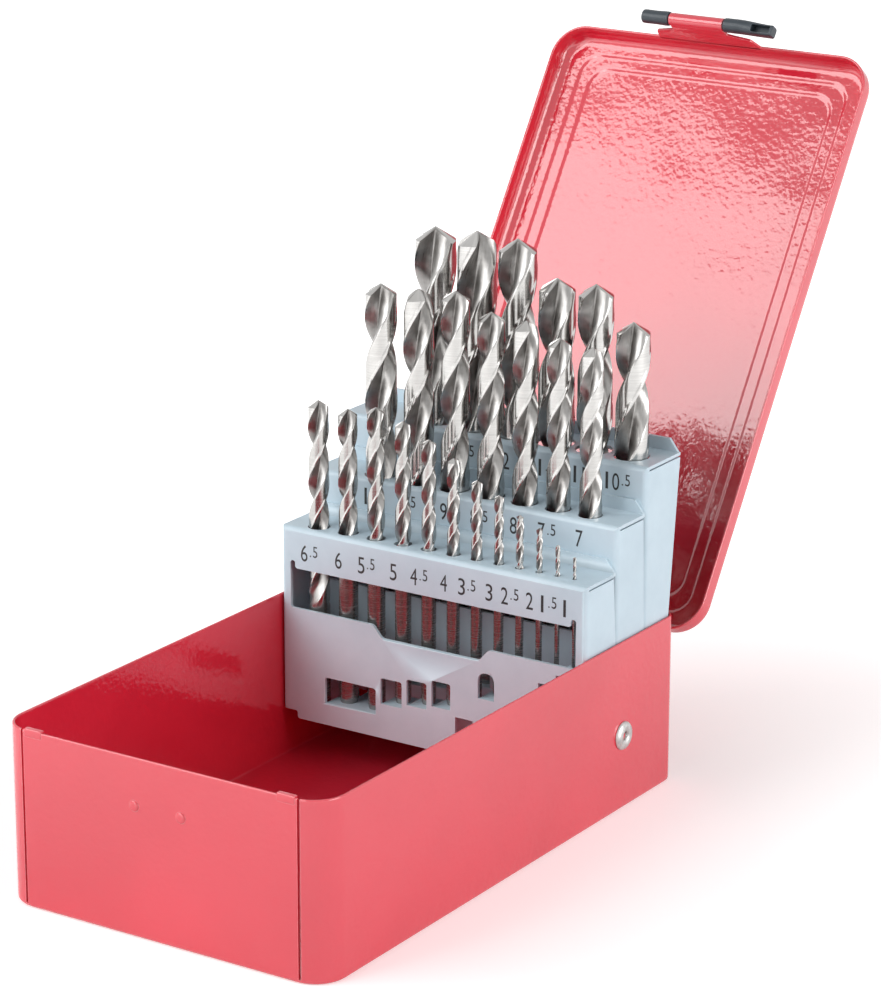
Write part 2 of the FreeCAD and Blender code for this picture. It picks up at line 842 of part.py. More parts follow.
def pair_across(label, body):
    """The piece and its mirror image on the other side, as one node."""
    mirrored = doc.addObject("Part::Mirroring", f"{label}_mirrored")
    mirrored.Source = body
    mirrored.Normal = X_AXIS
    pair = doc.addObject("Part::Compound", label)
    pair.Label = label
    pair.Links = [body, mirrored]
    doc.recompute()
    return pair


def make_rivets():
    """Rivets through the side walls and the holder's flanges, turned about the pivot line."""
    body = new_body("pivot_rivet")
    flange_inner = holder_half - size.holder_steel
    collar = flange_inner - size.rivet_play
    profile = new_sketch(body, "rivet_section", "XZ_Plane")
    draw_outline(profile, [
        (collar - size.rivet_collar, 0),
        (tray_half + size.rivet_head, 0),
        (tray_half + size.rivet_head, size.rivet_head_radius),
        (tray_half, size.rivet_head_radius),
        (tray_half, size.rivet_radius),
        (collar, size.rivet_radius),
        (collar, size.rivet_collar_radius),
        (collar - size.rivet_collar, size.rivet_collar_radius),
    ])
    revolve(body, "rivet_turning", profile, "H_Axis")
    place(body, 0, pivot_y, size.pivot_level)
    return pair_across("pivot_rivets", body)


def bracket_shell(label, profile, foot_open, top):
    """Front plate, top plate and two side flanges, bent from one sheet."""
    body = new_body(label)
    side = new_sketch(body, f"{label}_profile", "YZ_Plane")
    draw_outline(side, profile)
    solid = pad(body, f"{label}_block", side, holder_half * 2, both_ways=True)
    face_y = profile[0][0]

    def on_bend(at, way):
        across = along_x(way) and near(at.z, top)
        upright = along_z(way) and near(abs(at.x), holder_half)
        return near(at.y, face_y) and (across or upright)

    bent = fillet(body, f"{label}_bends", solid, edges_where(solid.Shape, on_bend),
                  size.holder_bend)

    def opening(at, way):
        rear = way.y > 0.9
        foot = foot_open and way.z < -0.9
        return rear or foot

    hollow(body, f"{label}_walls", bent, faces_where(bent.Shape, opening), size.holder_steel)
    return body


def slit_corners(body, face_y, top):
    """Slits that free the top plate's ends from the side flanges."""
    steel = size.holder_steel
    bend_end = face_y + size.holder_bend
    for side, name in ((-1, "left"), (1, "right")):
        start = (holder_half - steel) * side
        slit = new_sketch(body, f"{body.Label}_{name}_slit_line", "YZ_Plane", start)
        draw_rectangle(slit, bend_end, tray_rear + size.cut_overrun * 2,
                       top - steel - size.relief_slit, top - steel)
        pocket(body, f"{body.Label}_{name}_slit", slit, steel + size.cut_overrun,
               backwards=side > 0)


def rear_lip(body, rear_y, top):
    """Lip bent up from the top plate's rear edge, with slanted ends."""
    steel = size.holder_steel
    half = holder_half - size.lip_end_gap
    high = top + size.lip_rise
    section = new_sketch(body, f"{body.Label}_lip_section", "YZ_Plane")
    draw_outline(section, [
        (rear_y - steel * 2, top - steel),
        (rear_y, top - steel),
        (rear_y, high),
        (rear_y - steel, high),
        (rear_y - steel, top),
        (rear_y - steel * 2, top),
    ])
    pad(body, f"{body.Label}_lip", section, half * 2, both_ways=True)
    ends = new_sketch(body, f"{body.Label}_lip_end_lines", "XZ_Plane", -rear_y)
    for side in (-1, 1):
        draw_outline(ends, [
            (half * side, top),
            ((half + size.cut_overrun) * side, top),
            ((half + size.cut_overrun) * side, high),
            ((half - size.lip_slant) * side, high),
        ])
    pocket(body, f"{body.Label}_lip_ends", ends, steel * 4, both_ways=True)


def drill_holes(body, places, row_y, top):
    """Holes in the top plate, each a little wider than its drill, with flats for sides."""
    for name, across in places.items():
        hole = body.newObject("PartDesign::SubtractivePrism", f"hole_{name}")
        hole.Polygon = HOLE_SIDES
        flat = (drill_diameter[name] + size.hole_play) / 2
        bind(hole, Circumradius=flat / math.cos(math.pi / HOLE_SIDES),
             Height=size.cut_overrun * 2)
        place(hole, across, row_y, top - size.cut_overrun)
    doc.recompute()


def plate_cut(body, name, face_y, outlines):
    """Cuts outlines through the front plate only."""
    start = face_y - size.cut_overrun
    sketch = new_sketch(body, f"{name}_lines", "XZ_Plane", -start)
    for outline in outlines:
        draw_outline(sketch, outline)
    depth = size.cut_overrun * 2 + size.holder_steel
    pocket(body, name, sketch, depth)


def rest_shelves(body, name, face_y, shelves):
    """Rests bent inwards from the front plate: left, right and top of each."""
    sketch = new_sketch(body, f"{name}_lines", "XZ_Plane", -face_y)
    for left, right, level in shelves:
        draw_rectangle(sketch, left, right, level - size.holder_steel, level)
    pad(body, name, sketch, size.rest_reach, backwards=True)


def box_outline(left, right, low, high):
    return [(left, low), (right, low), (right, high), (left, high)]


front_y = tray_rear - size.front_face
middle_y = tray_rear - size.front_to_middle
back_y = tray_rear - size.middle_to_back
front_row_y = tray_rear - size.front_row
middle_row_y = tray_rear - size.middle_row
back_row_y = tray_rear - size.back_row


def rest_level(row, share):
    """Height of a drill's rest in its bracket."""
    if row == "front":
        return size.holder_foot + (size.front_top - size.holder_foot) * share
    if row == "middle":
        return size.holder_foot + (size.middle_top - size.holder_foot) * share
    return size.back_foot + size.holder_steel


def make_front_bracket():
    """Lowest step: 12 small drills."""
    foot = size.holder_foot
    top = size.front_top
    body = bracket_shell("holder_front", [
        (front_y, foot),
        (front_y, top),
        (tray_rear - size.front_rear_high, top),
        (middle_y, size.step_level),
        (middle_y, foot),
    ], True, top)
    slit_corners(body, front_y, top)
    rear_lip(body, middle_y, top)
    drill_holes(body, front_places, front_row_y, top)

    # Long window under the numbers, with a notch at each end and a dip in its lower edge.
    edge = holder_half - size.front_window_margin
    notch = edge - size.front_window_notch
    low = size.front_window_low
    dip = size.front_window_dip
    dip_half = size.front_dip_half
    dip_edge = dip_half + size.front_dip_slope
    strip = top - size.front_strip
    strip_end = top - size.front_strip_end
    right_half = [(dip_half, dip), (dip_edge, low), (edge, low), (edge, strip_end),
                  (notch, strip_end), (notch, strip)]
    left_half = [(-x, z) for x, z in reversed(right_half)]
    plate_cut(body, "long_window", front_y, [right_half + left_half])

    # Small windows and the rests bent from them, then the foot's corner notches.
    windows = []
    shelves = []
    half = drill_diameter["6_5"] / 2
    shelves.append((front_places["6_5"] - half, front_places["6_5"] + half,
                    rest_level("front", FRONT_REST_SHARES["6_5"])))
    for first, last, bent_from in FRONT_WINDOWS:
        left = front_places[first] - drill_diameter[first] / 2 - size.window_reach_left
        right = front_places[last] + drill_diameter[last] / 2 + size.window_reach_right
        level = rest_level("front", FRONT_REST_SHARES[first])
        if bent_from > 0:
            low_edge = level
        else:
            low_edge = level - size.holder_steel - size.rest_window
        windows.append(box_outline(left, right, low_edge, low_edge + size.rest_window))
        shelves.append((left + size.rest_edge_gap, right - size.rest_edge_gap, level))
    plate_cut(body, "rest_windows", front_y, windows)
    rest_shelves(body, "rests", front_y, shelves)
    notch_foot(body, front_y)
    return body


def notch_foot(body, face_y):
    """Takes the lower corners off, so that the foot swings clear of the tray's floor."""
    corner = holder_half - size.corner_notch
    high = size.holder_foot + size.corner_notch_rise
    sketch = new_sketch(body, f"{body.Label}_foot_lines", "XZ_Plane", -face_y)
    over = size.cut_overrun
    for side in (-1, 1):
        left, right = (corner, holder_half + over) if side > 0 else (-holder_half - over, -corner)
        draw_rectangle(sketch, left, right, size.holder_foot - over, high)
    pocket(body, f"{body.Label}_foot_notches", sketch, (middle_y - face_y) * 2, both_ways=True)


def make_middle_bracket():
    """Middle step: 7 drills, and the flanges that the rivets go through."""
    foot = size.holder_foot
    top = size.middle_top
    body = bracket_shell("holder_middle", [
        (middle_y, foot),
        (middle_y, top),
        (tray_rear - size.middle_rear_high, top),
        (back_y, size.step_level),
        (back_y, foot),
    ], True, top)
    slit_corners(body, middle_y, top)
    rear_lip(body, back_y, top)
    drill_holes(body, middle_places, middle_row_y, top)
    edge = holder_half - size.middle_window_margin
    window = box_outline(-edge, edge, size.middle_window_low, top - size.middle_strip)
    plate_cut(body, "middle_window", middle_y, [window])
    windows = []
    shelves = []
    for name, rest in MIDDLE_REST_SHARES.items():
        left = middle_places[name] - drill_diameter[name] / 2
        right = middle_places[name] + drill_diameter[name] / 2
        level = rest_level("middle", rest)
        windows.append(box_outline(left, right, level, level + size.rest_window))
        shelves.append((left + size.rest_edge_gap, right - size.rest_edge_gap, level))
    plate_cut(body, "middle_rest_windows", middle_y, windows)
    rest_shelves(body, "middle_rests", middle_y, shelves)
    for side, name in ((-1, "left"), (1, "right")):
        start = (holder_half - size.holder_steel * 2) * side
        pivot = new_sketch(body, f"{name}_pivot_line", "YZ_Plane", start)
        draw_circle(pivot, pivot_y, size.pivot_level, size.rivet_radius + size.rivet_play)
        pocket(body, f"{name}_pivot_hole", pivot, size.holder_steel * 2 + size.cut_overrun,
               backwards=side > 0)
    return body


def make_back_bracket():
    """Highest step: 6 drills that stand on its floor. Its rear draws in below the pivot, so
    that it swings clear of the tray's corners.
    """
    foot = size.back_foot
    top = size.back_top
    body = bracket_shell("holder_back", [
        (back_y, foot),
        (back_y, top),
        (tray_rear + size.back_rear_high, top),
        (tray_rear - size.back_rear_low, size.step_level),
        (tray_rear - size.back_rear_low, size.pivot_level),
        (tray_rear - size.back_rear_low - size.back_foot_taper, foot),
    ], False, top)
    slit_corners(body, back_y, top)
    rear_lip(body, tray_rear + size.back_rear_high, top)
    drill_holes(body, back_places, back_row_y, top)
    edge = holder_half - size.back_window_margin
    window = box_outline(-edge, edge, size.back_window_low, top - size.back_strip)
    plate_cut(body, "back_window", back_y, [window])
    return body


def flute_ring(radius, level, turn, depth, cone_top=None):
    """Points of one cross section; depth 1 is the full flute and 0 is round."""
    points = []
    for half in (0, 1):
        for angle_share, radius_share in FLUTE_SECTION_SHARES:
            angle = math.pi * (angle_share + half) + turn
            distance = radius * (1 - (1 - radius_share) * depth)
            height = level
            if cone_top is not None:
                slope = math.tan(math.radians(POINT_ANGLE_DEGREES / 2))
                height = cone_top - distance / slope
            points.append(FreeCAD.Vector(distance * math.cos(angle),
                                         distance * math.sin(angle), height))
    return points


def fluted_solid(radius, start, tip, steps_per_turn):
    """Twisted flutes from flat facets, closed by a flat foot and the point's cone."""
    lead = radius * 2 * FLUTE_LEAD_SHARE
    runout = radius * 2 * FLUTE_RUNOUT_SHARE
    shoulder = tip - radius / math.tan(math.radians(POINT_ANGLE_DEGREES / 2))
    count = math.ceil((shoulder - start) / lead * steps_per_turn)
    rings = []
    for step in range(count):
        level = start + (shoulder - start) * step / count
        turn = 2 * math.pi * (level - start) / lead
        depth = min((level - start) / runout, 1)
        rings.append(flute_ring(radius, level, turn, depth))
    last_turn = 2 * math.pi * (shoulder - start) / lead
    rings.append(flute_ring(radius, shoulder, last_turn, 1, cone_top=tip))
    faces = [Part.Face(Part.makePolygon(rings[0] + rings[0][:1]))]
    for low, high in zip(rings, rings[1:]):
        for number in range(len(low)):
            after = (number + 1) % len(low)
            faces.append(facet(low[number], low[after], high[after]))
            faces.append(facet(low[number], high[after], high[number]))
    apex = FreeCAD.Vector(0, 0, tip)
    for number in range(len(rings[-1])):
        faces.append(facet(rings[-1][number], rings[-1][(number + 1) % len(rings[-1])], apex))
    return Part.makeSolid(Part.makeShell(faces))


def facet(first, second, third):
    return Part.Face(Part.makePolygon([first, second, third, first]))


def make_drill(name, row, across, rest_share, row_y):
    """Twist drill: plain shank below, right-hand flutes and a ground point above."""
    diameter = drill_diameter[name]
    length = drill_length[name]
    flute = drill_flute[name]
    foot = rest_level(row, rest_share)
    shank = doc.addObject("Part::Prism", f"shank_{name}")
    shank.Polygon = SHANK_SIDES
    bind(shank, Circumradius=diameter / 2, Height=length - flute)
    steps = FLUTE_STEPS_PER_TURN_LARGE
    if diameter.value < FINE_DRILL_DIAMETER:
        steps = FLUTE_STEPS_PER_TURN_SMALL
    flutes = doc.addObject("Part::Feature", f"flutes_{name}")
    flutes.Shape = fluted_solid(diameter.value / 2, (length - flute).value, length.value, steps)
    drill = doc.addObject("Part::Fuse", f"drill_{name}")
    drill.Label = f"drill_{name}"
    drill.Base = shank
    drill.Tool = flutes
    place(drill, across, row_y, foot)
    return drill


pieces = [
    make_tray(),
    make_base_leaf(),
    make_hinge_pin(),
    make_lid(),
    make_lid_leaf(),
    make_latch_clip(),
    make_latch_pin(),
    make_rivets(),
    make_front_bracket(),
    make_middle_bracket(),
    make_back_bracket(),
]
for row, rest_shares, places, row_y in (
    ("front", FRONT_REST_SHARES, front_places, front_row_y),
    ("middle", MIDDLE_REST_SHARES, middle_places, middle_row_y),
    ("back", BACK_REST_SHARES, back_places, back_row_y),
):
    for name, rest_share in rest_shares.items():
        pieces.append(make_drill(name, row, places[name], rest_share, row_y))
doc.recompute()

for thing in doc.Objects:
    if "Invalid" in thing.State or "Error" in thing.State:
        raise RuntimeError(f"{thing.Label} failed: {thing.State}")
os.makedirs("parts", exist_ok=True)
for piece in pieces:
    shape = piece.Shape
    if shape.isNull() or not shape.isValid():
        raise RuntimeError(f"{piece.Label} has no valid shape")
    shape.exportStep(f"parts/{piece.Label}.step")
    print(piece.Label, len(shape.Solids), round(shape.Volume, 1))
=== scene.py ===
import json
import math

import bmesh
import bpy
from mathutils import Matrix, Vector

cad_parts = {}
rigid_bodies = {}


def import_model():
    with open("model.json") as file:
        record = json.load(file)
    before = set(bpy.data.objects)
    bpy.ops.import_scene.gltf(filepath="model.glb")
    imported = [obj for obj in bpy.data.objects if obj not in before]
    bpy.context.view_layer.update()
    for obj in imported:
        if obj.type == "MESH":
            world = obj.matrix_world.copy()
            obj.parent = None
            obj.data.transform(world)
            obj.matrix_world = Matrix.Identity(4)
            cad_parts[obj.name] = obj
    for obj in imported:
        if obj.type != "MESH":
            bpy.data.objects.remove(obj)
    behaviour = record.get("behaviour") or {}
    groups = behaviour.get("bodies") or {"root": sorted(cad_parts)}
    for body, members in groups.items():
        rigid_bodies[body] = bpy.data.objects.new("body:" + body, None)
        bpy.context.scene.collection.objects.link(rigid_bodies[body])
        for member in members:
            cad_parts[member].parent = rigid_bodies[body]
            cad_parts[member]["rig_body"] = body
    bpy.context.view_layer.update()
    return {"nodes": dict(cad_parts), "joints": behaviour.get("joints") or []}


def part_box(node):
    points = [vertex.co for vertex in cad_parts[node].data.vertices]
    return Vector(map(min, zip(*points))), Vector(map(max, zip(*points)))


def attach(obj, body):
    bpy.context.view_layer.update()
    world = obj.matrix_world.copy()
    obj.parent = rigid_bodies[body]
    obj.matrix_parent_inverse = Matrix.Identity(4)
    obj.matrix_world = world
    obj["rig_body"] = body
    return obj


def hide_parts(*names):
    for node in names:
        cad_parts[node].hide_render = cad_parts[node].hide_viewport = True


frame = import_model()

# A red sheet-steel case with its lid open, a pale stepped holder and 25 twist drills.
# Metres, in the CAD's own frame. MM turns named sizes in millimetres into metres.
MM = 0.001
TAU = 2 * math.pi

# Where the parts stand, read from the CAD.
tray_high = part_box("base_tray")[1]
front_low, front_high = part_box("holder_front")
middle_low, middle_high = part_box("holder_middle")
back_low, back_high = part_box("holder_back")
joints = {joint["name"]: joint for joint in frame["joints"]}
hinge_spot = Vector(joints["lid_hinge"]["pos_m"])
lid_opening = math.radians(-joints["lid_hinge"]["range_deg"][0])
pivot_spot = Vector(joints["holder_pivot"]["pos_m"])
open_turn = Matrix.Translation(hinge_spot) @ Matrix.Rotation(-lid_opening, 4, "X")
lid_place = open_turn @ Matrix.Translation(-hinge_spot)

# Sheet, bends and corners of the tray and the lid.
STEEL = 0.8 * MM
TRAY_FRONT_CORNER = 10 * MM
TRAY_REAR_CORNER = 5 * MM
TRAY_BOTTOM_BEND = 1.4 * MM
TRAY_HEIGHT = 54 * MM
TRAY_LENGTH = 188 * MM
TRAY_FRONT = -TRAY_LENGTH / 2
RIM_EDGE = 0.15 * MM
RIM_STEPS = 6
SEAM_PAST_CORNER = 1.4 * MM
SEAM_GAP = 0.8 * MM
SEAM_FOOT = 1.2 * MM
LUG_WIDTH = 6 * MM
LUG_DROP = 1.9 * MM
LUG_RISE = 0.55 * MM
LUG_PROUD = 0.22 * MM
LUG_FROM_SEAM = 1 * MM
BUMP_SPACING = 16 * MM
BUMP_LEVEL = 39.7 * MM
BUMP_RADIUS = 1.6 * MM
BUMP_RISE = 0.6 * MM
BUMP_STEEPNESS = 0.55
LID_HALF = 58 * MM
LID_FRONT = -96 * MM
LID_REAR = 98 * MM
LID_RIM = 51 * MM
LID_DEPTH = 8.15 * MM
LID_CORNER = 11 * MM
LID_BEND = 4.3 * MM
STEP_REACH = 0.75 * MM
PANEL_SIDE_MARGIN = 8.7 * MM
PANEL_END_MARGIN = 7 * MM
PANEL_SLOPE = 4.3 * MM
PANEL_RISE = 1.0 * MM
PANEL_CORNER = 7 * MM

# Strap of the lid, its barrel and the clip, drawn with the lid closed.
STRAP_MIDDLE = -1 * MM
STRAP_ROOT = 18.8 * MM
STRAP_SHOULDER = 17.3 * MM
STRAP_SHOULDER_DROP = 4.9 * MM
STRAP_NECK_DROP = 7.3 * MM
STRAP_DROP = 11 * MM
BARREL_HALF = 9.85 * MM
BARREL_RADIUS = 2.1 * MM
LATCH_PIN_RADIUS = 1.25 * MM
LATCH_KNUCKLE_RADIUS = 2.35 * MM
LATCH_KNUCKLE_BREAK = 0.25 * MM
LATCH_KNUCKLE_SWELL = 1.2 * MM
LATCH_PIN_FIT = 0.05 * MM
LATCH_INNER = 10.2 * MM
LATCH_OUTER = 20 * MM
LATCH_WEB = 1.2 * MM
LATCH_TAIL_REACH = 7.8 * MM
LATCH_TAIL_DEPTH = 3.7 * MM
LATCH_TAIL_HEIGHT = 3.6 * MM
LATCH_TAIL_SHIFT = 0.55 * MM
LATCH_TAIL_CORNER = 0.9 * MM
LATCH_TAIL_WALL = 0.6 * MM
LATCH_Y = LID_FRONT + STEEL - BARREL_RADIUS
LATCH_Z = LID_RIM - STRAP_DROP

# Rivets, and the holder's sheet.
RIVET_HEAD_RADIUS = 4.45 * MM
RIVET_HEAD = 1.3 * MM
RIVET_RADIUS = 1.5 * MM
RIVET_COLLAR_RADIUS = 1.9 * MM
RIVET_COLLAR = 0.9 * MM
RIVET_HOLLOW = 1.25 * MM
RIVET_FIT = 0.05 * MM
# Outline of a rivet's rolled head: shares of its radius and of its height.
RIVET_CROWN = ((0.97, 0), (1, 0.12), (0.985, 0.35), (0.93, 0.62), (0.80, 0.88), (0.62, 1),
               (0.45, 0.96), (0.34, 0.80))
HOLDER_STEEL = 1 * MM
HOLDER_HALF = 54.9 * MM


# Meshes.
def finish_mesh(name, mesh, body, material, sharp_angle=35, place=None):
    """Makes an object of a mesh in the row's frame, shades it and lets it ride."""
    if place is not None:
        mesh.transform(place)
    mesh.shade_smooth()
    mesh.set_sharp_from_angle(angle=math.radians(sharp_angle))
    piece = bpy.data.objects.new(name, mesh)
    bpy.context.scene.collection.objects.link(piece)
    piece.data.materials.clear()
    piece.data.materials.append(material)
    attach(piece, body)
    return piece


def mesh_from(shape, name):
    """The mesh of a bmesh, which is freed."""
    mesh = bpy.data.meshes.new(name)
    shape.to_mesh(mesh)
    shape.free()
    return mesh


def corner_ring(half, front, rear, level, front_corner, rear_corner, steps=12):
    """Points round a rounded rectangle at one level, always as many, anticlockwise."""
    points = []
    turns = (
        (half - front_corner, front + front_corner, front_corner, -90),
        (half - rear_corner, rear - rear_corner, rear_corner, 0),
        (rear_corner - half, rear - rear_corner, rear_corner, 90),
        (front_corner - half, front + front_corner, front_corner, 180),
    )
    for x, y, radius, start in turns:
        for step in range(steps + 1):
            angle = math.radians(start + 90 * step / steps)
            points.append((x + radius * math.cos(angle), y + radius * math.sin(angle), level))
    return points


def skin_rings(name, rings, close_start=True, close_end=True):
    """A closed skin over rings of equally many points."""
    shape = bmesh.new()
    rows = [[shape.verts.new(point) for point in ring] for ring in rings]
    for low, high in zip(rows, rows[1:]):
        for number in range(len(low)):
            after = (number + 1) % len(low)
            shape.faces.new((low[number], low[after], high[after], high[number]))
    if close_start:
        shape.faces.new(list(reversed(rows[0])))
    if close_end:
        shape.faces.new(rows[-1])
    bmesh.ops.recalc_face_normals(shape, faces=shape.faces)
    return mesh_from(shape, name)


def apply_boolean(mesh, cutter_mesh, operation="DIFFERENCE"):
    """The mesh after a cut or a join with another mesh."""
    piece = bpy.data.objects.new("work", mesh)
    cutter = bpy.data.objects.new("cutter", cutter_mesh)
    for thing in (piece, cutter):
        bpy.context.scene.collection.objects.link(thing)
    cut = piece.modifiers.new("cut", "BOOLEAN")
    cut.object = cutter
    cut.operation = operation
    cut.solver = "EXACT"
    bpy.context.view_layer.update()
    graph = bpy.context.evaluated_depsgraph_get()
    result = bpy.data.meshes.new_from_object(piece.evaluated_get(graph))
    bpy.data.objects.remove(piece)
    bpy.data.objects.remove(cutter)
    return result


def box_mesh(boxes):
    """Separate boxes, each from its low to its high corner."""
    shape = bmesh.new()
    for low, high in boxes:
        low = Vector(low)
        high = Vector(high)
        place = Matrix.Translation((low + high) / 2) @ Matrix.Diagonal((*(high - low), 1))
        bmesh.ops.create_cube(shape, size=1, matrix=place)
    return mesh_from(shape, "boxes")


def extrude_outline(name, outline, thickness, place):
    """A flat outline in X and Y given a thickness along Z, then placed."""
    shape = bmesh.new()
    ring = [shape.verts.new((x, y, 0)) for x, y in outline]
    face = shape.faces.new(ring)
    grown = bmesh.ops.extrude_face_region(shape, geom=[face])
    moved = [item for item in grown["geom"] if isinstance(item, bmesh.types.BMVert)]
    bmesh.ops.translate(shape, verts=moved, vec=(0, 0, thickness))
    bmesh.ops.recalc_face_normals(shape, faces=shape.faces)
    mesh = mesh_from(shape, name)
    mesh.transform(place)
    return mesh


def join_meshes(name, meshes):
    """Several meshes as one."""
    shape = bmesh.new()
    for mesh in meshes:
        shape.from_mesh(mesh)
    return mesh_from(shape, name)


def lathe(name, profile, steps=48):
    """An open profile of radius and height turned about Z, with flat ends."""
    rings = []
    for radius, height in profile:
        ring = []
        for step in range(steps):
            angle = TAU * step / steps
            ring.append((radius * math.cos(angle), radius * math.sin(angle), height))
        rings.append(ring)
    return skin_rings(name, rings)


def tube(name, profile, steps=48):
    """A closed profile of radius and height turned about Z."""
    shape = bmesh.new()
    rings = []
    for step in range(steps):
        angle = TAU * step / steps
        rings.append([shape.verts.new((radius * math.cos(angle), radius * math.sin(angle), height))
                      for radius, height in profile])
    for here, there in zip(rings, rings[1:] + rings[:1]):
        for index in range(len(profile)):
            after = (index + 1) % len(profile)
            shape.faces.new((here[index], there[index], there[after], here[after]))
    bmesh.ops.recalc_face_normals(shape, faces=shape.faces)
    return mesh_from(shape, name)


def round_corners(points, radius, steps=4):
    """A closed outline with each corner turned into a short arc."""
    rounded = []
    count = len(points)
    for number, (x, y) in enumerate(points):
        corner = Vector((x, y))
        before = Vector(points[number - 1]) - corner
        after = Vector(points[(number + 1) % count]) - corner
        half_angle = before.angle(after) / 2
        reach = min(radius / math.tan(half_angle), before.length * 0.45, after.length * 0.45)
        start = corner + before.normalized() * reach
        end = corner + after.normalized() * reach
        for step in range(steps + 1):
            share = step / steps
            spot = (start * (1 - share) + corner * share) * (1 - share)
            spot += (corner * (1 - share) + end * share) * share
            rounded.append((spot.x, spot.y))
    return rounded


def section_ring(x, low, high, corner, steps=6):
    """A rounded rectangle square to X, between two corners given as (y, z)."""
    turns = ((high[0], low[1], -90), (high[0], high[1], 0), (low[0], high[1], 90),
             (low[0], low[1], 180))
    ring = []
    for y, z, start in turns:
        y += corner if y == low[0] else -corner
        z += corner if z == low[1] else -corner
        for step in range(steps + 1):
            angle = math.radians(start + 90 * step / steps)
            ring.append((x, y + corner * math.cos(angle), z + corner * math.sin(angle)))
    return ring


def soften(mesh, width, segments=3, angle=30):
    """Rounds all the sharp edges of a mesh."""
    shape = bmesh.new()
    shape.from_mesh(mesh)
    limit = math.radians(angle)
    sharp = [edge for edge in shape.edges
             if len(edge.link_faces) == 2 and edge.calc_face_angle() > limit]
    bmesh.ops.bevel(shape, geom=sharp, offset=width, segments=segments, profile=0.5,
                    affect="EDGES", clamp_overlap=True)
    shape.to_mesh(mesh)
    shape.free()
    return mesh


def round_windows(shape, face_y):
    """Rounds the corners of windows stamped in a front plate, and the bends of its rests."""
    def edges_of(wanted):
        return [edge for edge in shape.edges if wanted(edge)]

    def on_plate(edge):
        ends = sorted(vert.co.y for vert in edge.verts)
        return abs(ends[0] - face_y) < FINE and abs(ends[1] - face_y - HOLDER_STEEL) < FINE

    def is_corner(edge):
        first, last = (vert.co for vert in edge.verts)
        across = abs(first.x - last.x) + abs(first.z - last.z)
        if across > FINE or not on_plate(edge) or edge.calc_face_angle(0) < 0.3:
            return False
        others = [other for vert in edge.verts for other in vert.link_edges
                  if other is not edge and other.calc_face_angle(0) > 0.3]
        return min(other.calc_length() for other in others) > CORNER_ROOM

    def is_arch(edge):
        spot = edge.verts[0].co
        return is_corner(edge) and abs(spot.x - ARCH_X) < ARCH_REACH and ARCH_Z[0] < spot.z < ARCH_Z[1]

    def is_sill(edge):
        first, last = (vert.co for vert in edge.verts)
        flat = abs(first.y - face_y) + abs(last.y - face_y) + abs(first.z - last.z) < FINE
        if not flat or len(edge.link_faces) != 2 or first.z > SILL_TOP:
            return False
        return any(face.normal.z > 0.9 for face in edge.link_faces)

    for wanted, width, segments in ((is_arch, ARCH_RADIUS, 6), (is_corner, WINDOW_CORNER, 3),
                                    (is_sill, SILL_BEND, 3)):
        bmesh.ops.bevel(shape, geom=edges_of(wanted), offset=width, segments=segments,
                        profile=0.5, affect="EDGES", clamp_overlap=False)


FINE = 0.02 * MM
CORNER_ROOM = 1.6 * MM
WINDOW_CORNER = 0.75 * MM
SILL_BEND = 0.6 * MM
SILL_TOP = 48 * MM
ARCH_X = 20.2 * MM
ARCH_REACH = 3.6 * MM
ARCH_Z = (40 * MM, 46 * MM)
ARCH_RADIUS = 2.6 * MM


def cad_copy(node, name, material, bevel=0.12 * MM, sharp_angle=32, windows_at=None):
    """A CAD node's mesh merged, cleaned into flat faces and given fine rounded edges."""
    source = frame["nodes"][node]
    shape = bmesh.new()
    shape.from_mesh(source.data)
    bmesh.ops.remove_doubles(shape, verts=shape.verts, dist=0.002 * MM)
    bmesh.ops.dissolve_limit(shape, angle_limit=math.radians(0.6), verts=shape.verts,
                             edges=shape.edges)
    if windows_at is not None:
        round_windows(shape, windows_at)
    mesh = mesh_from(shape, name)
    body = source["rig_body"]
    piece = finish_mesh(name, mesh, body, material, sharp_angle)
    if bevel:
        rounding = piece.modifiers.new("edges", "BEVEL")
        rounding.width = bevel
        rounding.segments = 2
        rounding.limit_method = "ANGLE"
        rounding.angle_limit = math.radians(sharp_angle)
        rounding.use_clamp_overlap = True
        rounding.harden_normals = True
    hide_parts(node)
    return piece


# Nodes of materials. The Mix node keeps its colour sockets at these places.
COLOUR_A = 6
COLOUR_B = 7
COLOUR_RESULT = 2


